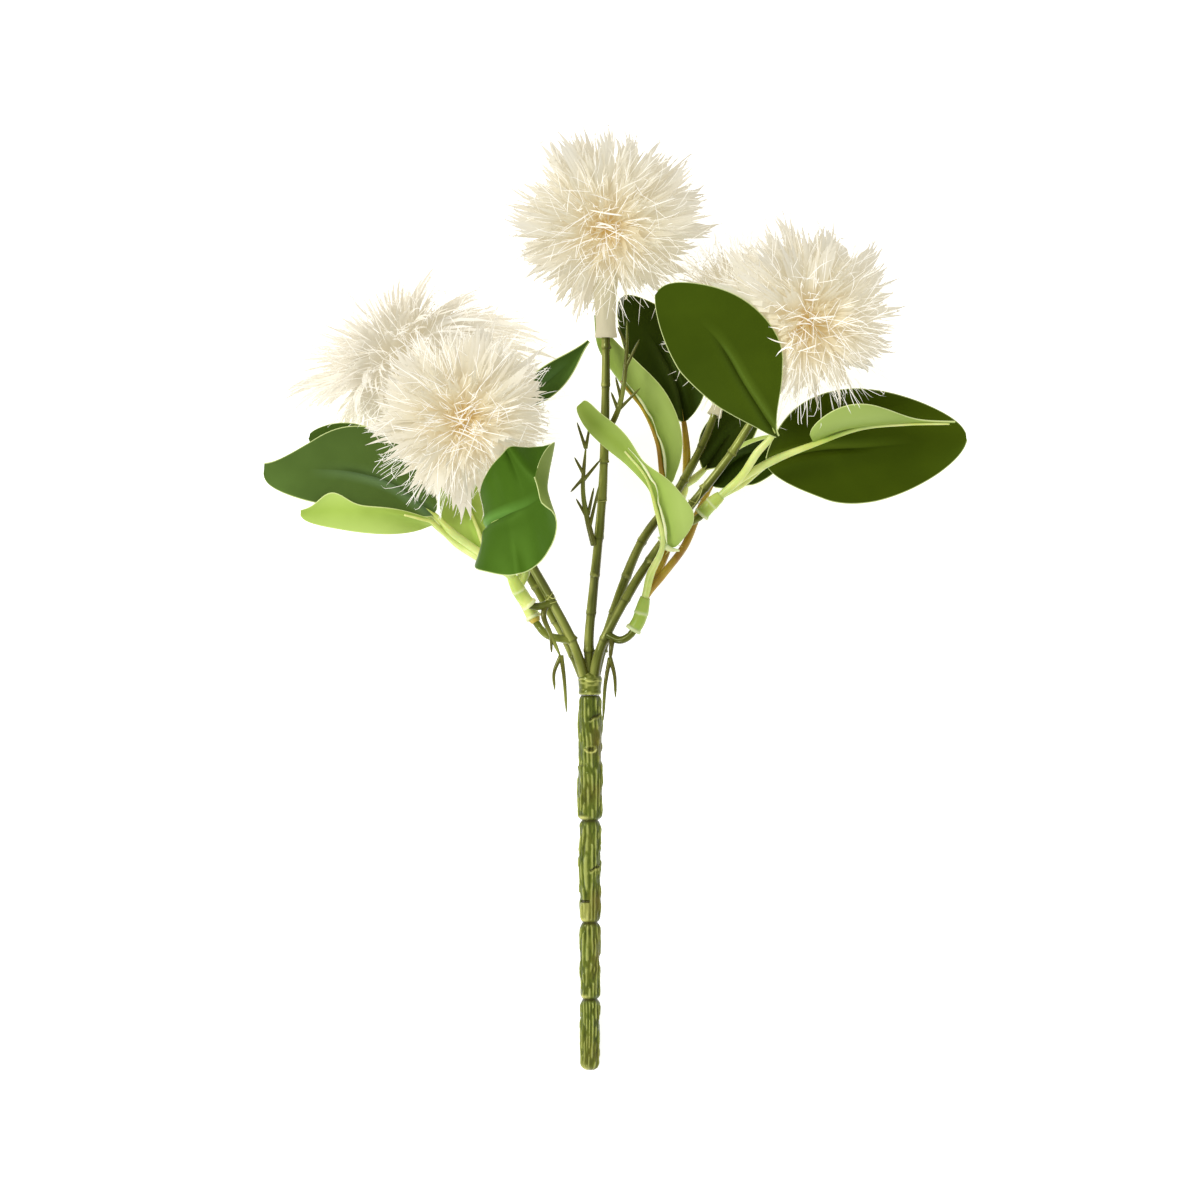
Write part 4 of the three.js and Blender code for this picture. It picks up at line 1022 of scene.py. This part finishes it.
# the golden middle shows where a head faces; a head under a leaf is pressed behind it; a head is
# thinner towards its fringe
heads = {
    "bloom_top": dict(
        middle=[6, 338.5, -6], facing=[0.06, -0.24, 1], branch="top", stretch=(1.12, 1, 1),
        fringe=[0, -1, 0]),
    "bloom_left_front": dict(
        middle=[-49, 258.5, 31], facing=[-0.02, 0.02, 1], branch="leftFront",
        under="leaf_left_front", fringe=[-0.4, -1, 0]),
    "bloom_left_rear": dict(
        middle=[-68.5, 281.5, -24], facing=[-0.7, 0.65, -0.3], branch="leftRear", inner=0.95,
        stretch=(1.44, 1.04, 1), split=(0.3, 0.7), fringe=[0.3, -1, 0], paler=0.25, palest=0.93,
        sideways=0),
    "bloom_right_front": dict(
        middle=[85, 299.5, 26], facing=[0.14, -0.3, 1], branch="rightFront", stretch=(1.08, 1.05, 1),
        under="leaf_right_top", fringe=[0, -1, 0]),
    "bloom_right_rear": dict(
        middle=[62, 299, -27], facing=[-0.15, 0.9, 0.1], branch="rightRear", inner=0.95, reach=35.5,
        stretch=(0.95, 1.08, 1), split=(0.3, 0.7), fringe=[0.3, -1, 0], paler=0.04, sideways=0,
        calyxRadius=2.4, calyxFlare=3, tipInCalyx=8),
}


def headFrame(look):
    # a head's middle, the way it faces and two ways square to that
    facing = unit(look["facing"])
    first = unit(np.cross(facing, [0, 1.0, 0] if abs(facing[1]) < 0.9 else [1.0, 0, 0]))
    return np.array(look["middle"], float), facing, first, np.cross(facing, first)


def tuckedUnder(points, leaf, depth=2.4):
    # points in front of a leaf, as the viewer sees it, go to the depth behind its nearest places
    surface, _ = leafSurface(leaf, np.linspace(0.01, 0.99, 40), np.linspace(-1, 1, 27))
    places = surface.reshape(-1, 3).astype(np.float32)
    flat = points.reshape(-1, 3)
    x, y = (flat[:, None, k].astype(np.float32) - places[None, :, k] for k in (0, 1))
    away = np.hypot(x, y)
    inside = 1 - ease((away.min(axis=1) - 1.6) / 1.6)
    nearby = away < away.min(axis=1, keepdims=True) + 1.2
    deepest = np.where(nearby, places[None, :, 2], 999).min(axis=1)
    over = np.clip(flat[:, 2] - deepest + depth, 0, None)
    return (flat - (inside * over)[:, None] * np.array([0, 0, 1.0])).reshape(points.shape)


def settled(points, look):
    if "under" in look:
        points = tuckedUnder(points, leaves[look["under"]])
    return liftedOff(points)


def blades(spine, width, thickness, side, **marks):
    # many thin blades at once: spine (n, k, 3), width (n, k), side (n, 3) or (n, k, 3). Both ends
    # come to a point; between them each place has a flat triangle with its ridge on the outside
    n, k = spine.shape[:2]
    along = unit(np.gradient(spine, axis=1))
    side = np.broadcast_to(side if side.ndim == 3 else side[:, None], spine.shape)
    across = unit(side - along * (side * along).sum(-1, keepdims=True))
    right = spine + across * width[..., None] / 2
    left = spine - across * width[..., None] / 2
    back = spine + np.cross(along, across) * thickness[..., None]
    rings = np.stack([right, back, left], 2)[:, 1:-1].reshape(n, -1, 3)
    faces = [[0, 2, 1], [0, 3, 2], [0, 1, 3]]
    for ring in range(k - 3):
        for corner in range(3):
            a, b = 1 + 3 * ring + corner, 1 + 3 * ring + (corner + 1) % 3
            faces += [[a, b, b + 3], [a, b + 3, a + 3]]
    last = 3 * (k - 2) + 1
    end = last - 3
    faces += [[end, end + 1, last], [end + 1, end + 2, last], [end + 2, end, last]]
    tris = np.array(faces)[None] + (last + 1) * np.arange(n)[:, None, None]
    part = {"points": np.concatenate([spine[:, :1], rings, spine[:, -1:]], 1).reshape(-1, 3),
            "tris": tris.reshape(-1, 3)}
    for mark, value in marks.items():
        value = np.broadcast_to(value, (n, k))
        inner = np.repeat(value[:, 1:-1], 3, axis=1)
        part[mark] = np.concatenate([value[:, :1], inner, value[:, -1:]], 1).ravel()
    return part


def paleness(points, look):
    # grows from the golden middle out to the pale tips, and away from the way the head faces; paler adds
    # painted light to the whole head and palest caps it
    out = points - look["middle"]
    beside = np.linalg.norm(np.cross(out, unit(look["facing"])), axis=-1)
    grown = (0.85 - look["sideways"]) * np.linalg.norm(out, axis=-1) + look["sideways"] * beside
    return np.minimum(grown / look["reach"] + look["paler"], look["palest"])


def ribbonSpines(look, rng):
    # the ribbons' middle lines (n, 25, 3), their side and flat directions, their angle from the way
    # the head faces, and how sparse the head is there
    middle, facing, first, second = headFrame(look)
    n = look["ribbons"]
    polar = np.arccos(lerp(*np.cos(np.radians(look["fan"])), (np.arange(n) + 0.5) / n))
    turn = np.arange(n) * np.pi * (3 - math.sqrt(5)) + 0.6 * rng.random(n)
    reach = look["reach"] * lerp(*look["reachSpread"], rng.random(n))
    lump = patchNoise(turn % (2 * np.pi) * 1.6, polar * 1.5, int(rng.integers(99)))
    tuft = patchNoise(turn % (2 * np.pi) * 4.5, polar * 3, int(rng.integers(99)))
    reach *= lerp(0.88, 1.03, ease((lump - 0.2) / 0.5)) * lerp(look["inner"], 1, ease(polar / 1.15))
    reach *= lerp(0.9, 1.05, ease((tuft - 0.2) / 0.5))
    # along a ribbon, at shares s of its length, its angle from the way the head faces grows
    s = np.linspace(0, 1, 25)
    angle = polar[:, None] * lerp(look["lift"], 1, s ** 0.8) + 0.3 * (rng.random((n, 1)) - 0.5) * s
    swing = turn[:, None] + 0.4 * (rng.random((n, 1)) - 0.5) * s
    radial = np.cos(swing)[..., None] * first + np.sin(swing)[..., None] * second
    out = (np.cos(angle)[..., None] * facing + np.sin(angle)[..., None] * radial) * look["stretch"]
    sparse = ease((out[:, -1] @ unit(look["fringe"]) - 0.15) / 0.5)
    short = 1 - 0.14 * sparse * (rng.random(n) < 0.55)  # some ribbons stay short in the fringe
    distance = lerp(look["core"] * 0.5, reach[:, None], s) * lerp(1, short[:, None], s ** 0.7)
    spine = middle + distance[..., None] * out
    tangential = np.cross(facing, radial)
    twist = look["twist"] * rng.normal(size=(n, 1, 1))
    side = unit(np.cos(twist) * tangential + np.sin(twist) * np.cross(out, tangential))
    normal = np.cross(side, unit(np.gradient(spine, axis=1)))
    return spine, side, normal, polar[:, None, None], sparse[:, None, None]


def ribbonParts(look, rng):
    # teeth lie side by side as one ribbon up to its split, then part and end in points
    spine, side, normal, polar, sparse = ribbonSpines(look, rng)
    n, teeth = look["ribbons"], look["teeth"]
    split = lerp(*look["split"], rng.random((n, 1, 1))) - 0.14 * sparse
    width = lerp(*look["ribbonWidth"], rng.random((n, 1, 1))) * lerp(0.55, 1, ease(polar / 1.2))
    lane = ((np.arange(teeth) - (teeth - 1) / 2) / teeth)[None, :, None]
    ends = lerp(split + 0.1, 1.0, rng.random((n, teeth, 1)) ** 0.6) * (1 - 0.5 * lane ** 2)
    at = ends * np.array(look["stations"])
    beyond = np.clip((at - split) / (1 - split), 0, 1)
    spread = ease(at / 0.45) * 0.8 + 0.2 + 0.55 * beyond ** 1.5
    offset = width * lane * spread + 5.5 * (rng.random((n, teeth, 1)) - 0.5) * beyond ** 1.3
    raised = 5.0 * (rng.random((n, teeth, 1)) - 0.5) * beyond ** 1.4
    raised = width * 0.5 * lane ** 2 * np.sin(np.pi * at) + raised
    raised = raised + 0.05 * (rng.random((n, teeth, 1)) - 0.5)
    place = at * (spine.shape[1] - 1)
    low = np.clip(place.astype(int), 0, spine.shape[1] - 2)
    between, rows = (place - low)[..., None], np.arange(n)[:, None, None]

    def along(values):
        return values[rows, low] * (1 - between) + values[rows, low + 1] * between

    tooth = along(spine) + offset[..., None] * along(side) + raised[..., None] * along(normal)
    tooth = settled(tooth.reshape(n * teeth, -1, 3), look)
    full = width / teeth * 1.45 * (ease(at / 0.3) * 0.75 + 0.25) * (1 + 0.45 * sparse)
    taper = np.clip((ends - at) / (ends - split * 0.92), 0, 1) ** 0.52
    breadth = (full * taper).reshape(n * teeth, -1)
    breadth[:, 0] = breadth[:, -1] = 0
    thickness = look["thickness"] * np.minimum(1, breadth / 0.4)
    shade = 0.55 * rng.random((n, 1, 1)) + 0.45 * rng.random((n, teeth, 1))
    shade = np.broadcast_to(shade, at.shape).reshape(breadth.shape)
    sides = along(side).reshape(tooth.shape)
    return blades(tooth, breadth, thickness, sides, tipness=paleness(tooth, look), shade=shade), tooth


def hairPart(tooth, look, rng):
    # short hairs that stand off the outer stretches of the teeth
    count = look["hairs"]
    chosen = rng.integers(0, len(tooth), count)
    station = 3 + 3 * rng.random(count) ** 0.6
    low = np.minimum(station.astype(int), 5)
    base = lerp(tooth[chosen, low], tooth[chosen, low + 1], (station - low)[:, None])
    forward = unit(tooth[chosen, low + 1] - tooth[chosen, low])
    direction = unit(forward + 1.05 * unit(rng.normal(size=(count, 3))))
    length = lerp(*look["hairLength"], rng.random(count) ** 1.4)
    t = np.array([0, 0.1, 0.6, 1.0])
    curve = base[:, None] + direction[:, None] * (length[:, None] * t)[..., None]
    curve = curve + (0.12 * length[:, None] * t ** 2)[..., None] * unit(rng.normal(size=(count, 1, 3)))
    curve = settled(curve, look)
    width = look["hairWidth"] * np.array([[0, 1, 0.577, 0]]) * lerp(0.6, 1.1, rng.random((count, 1)))
    return blades(curve, width, width * 0.5, np.cross(direction, [0.3, 0.5, 0.8]),
                  tipness=paleness(curve, look), shade=rng.random((count, 1)) * 0.5)


def loosePart(look, rng):
    # fine pale threads that lie over the ribbons, roughly along them
    middle, facing, _, _ = headFrame(look)
    count, reach = look["loose"], look["reach"]
    out = unit(rng.normal(size=(count, 3)) + 0.35 * facing)
    across = unit(np.cross(out, rng.normal(size=(count, 3))))
    out = out * look["stretch"]
    start = reach * lerp(0.35, 0.85, rng.random((count, 1)))
    length = lerp(*look["looseLength"], rng.random((count, 1)))
    t = np.linspace(0, 1, 6)
    slant = rng.normal(0, 0.55, (count, 1))
    distance = np.minimum(start + length * t * np.cos(slant), reach * 1.06)
    aside = length * (t * np.sin(slant) + rng.normal(0, 0.16, (count, 1)) * t ** 2)
    curve = middle + distance[..., None] * out[:, None] + aside[..., None] * across[:, None]
    width = look["looseWidth"] * np.sin(np.pi * t).clip(0) ** 0.5 * np.ones((count, 1))
    return blades(settled(curve, look), width, width * 0.6, np.cross(out, across), tipness=1.0,
                  shade=0.15 * rng.random((count, 1)))


def threadPart(look, rng):
    # threads in the golden middle: most rise out of it like a star, a quarter lie across it, longer
    middle, facing, first, second = headFrame(look)
    count = look["threads"]
    t = np.linspace(0, 1, 7)
    turn = 2 * np.pi * rng.random((count, 1)) + rng.normal(0, 0.35, (count, 1)) * t
    reach = lerp(3.5, 10, rng.random((count, 1))) * t + 0.6
    x, y = reach * np.cos(turn), reach * np.sin(turn)
    z = lerp(8, 13, rng.random((count, 1))) + lerp(3, 9, rng.random((count, 1))) * t ** 0.6
    long = np.arange(count)[:, None] < count // 4
    place, bow = rng.normal(0, 6.0, (count, 2)), rng.normal(0, 1.5, (count, 1))
    run = lerp(3.5, 8, rng.random((count, 1))) * (2 * t - 1)
    slope = rng.normal(0, 0.3, (count, 1))
    x = np.where(long, place[:, :1] + run, x)
    y = np.where(long, place[:, 1:] + slope * run + bow * (2 * t - 1) ** 2, y)
    z = np.where(long, lerp(15, 19, rng.random((count, 1))), z)
    z = z - 0.012 * (x ** 2 + y ** 2)
    spine = middle + x[..., None] * first + y[..., None] * second + z[..., None] * facing
    width = np.sin(np.pi * lerp(0.12, 1, t)).clip(0) ** 0.5 * np.where(long, *look["threadWidths"])
    return blades(spine, width, width * 0.6, facing + 0.4 * rng.normal(size=(count, 3)),
                  tipness=np.where(long, 1.0, lerp(0.2, 0.7, t)), shade=0.1 * rng.random((count, 1)))


def calyxPart(look, rng):
    # the cloth tube from its mouth on the branch up into the head, closed inside the head
    middle, facing, _, _ = headFrame(look)
    before, tip = np.array(branches[look["branch"]][-2:], float)
    route = [tip - unit(tip - before) * look["tipInCalyx"], tip, middle - facing * 5]
    sides = look["calyxSides"]
    shares, turn = np.linspace(0, 1, 40)[:, None], turns(sides)[None]
    base = look["calyxRadius"] + look["calyxFlare"] * shares ** 2 + 0.5 * bell(shares, 0, 0.05)
    folds = 0.5 * (rodNoise(shares, turn, 0.2, 11, int(rng.integers(99))) - 0.5)
    folds = folds + 0.35 * np.sin(turn * 7 + 1.3) * shares
    part = tube(route, shares[:, 0], base + folds, sides)
    part["points"] = liftedOff(part["points"])
    part["tipness"] = onTube(0.75 + 0.1 * shares, *folds.shape, 0.5)
    part["shade"] = onTube(0.4 + folds, *folds.shape, 0.5)
    part["tube"] = onTube(0.95 - 0.5 * ease((shares - 0.5) / 0.4), *folds.shape, 0.5)
    return part


def corePart(look):
    # a small round body that the ribbons stand on
    middle, facing, _, _ = headFrame(look)
    shares = np.linspace(0, 1, 12)[1:-1]
    radii = look["core"] * 1.5 * np.sqrt(1 - (2 * shares - 1) ** 2)
    part = tube([middle - facing * 7, middle + facing * 7], shares, radii, 20)
    part["tipness"], part["shade"] = 0.12, 0.6
    return part


# thin cloth lets light through: a weak glow in the cloth's own colour stands in for that light
petalShader = Shader("petal_cloth", Roughness=0.75, IOR=1.35, Emission_Strength=0.53)
petalTone = petalShader.ramp(petalShader.attribute("tipness"), [
    (0.12, (183, 154, 78)), (0.28, (190, 177, 142)), (0.5, (192, 186, 165)),
    (0.85, (191, 187, 174)), (1.0, (222, 219, 210))])
petalTone = petalShader.marked(petalTone, "shade", (190, 178, 151), 0.35)
petalTone = petalShader.marked(petalTone, "tube", (170, 163, 136))
petalShader.colour(petalTone)
petalShader.colour(petalTone, "Emission Color")
for index, (name, head) in enumerate(heads.items()):
    rng = np.random.default_rng(40 + index)
    look = {**bloomLook, **head}
    ribbon, tooth = ribbonParts(look, rng)
    parts = [ribbon, hairPart(tooth, look, rng), loosePart(look, rng), threadPart(look, rng),
             calyxPart(look, rng), corePart(look)]
    makePiece(name + "_ribbons", parts, petalShader.material, [name], smooth=False,
              marks=("tipness", "shade", "tube"))
print("flower heads done")
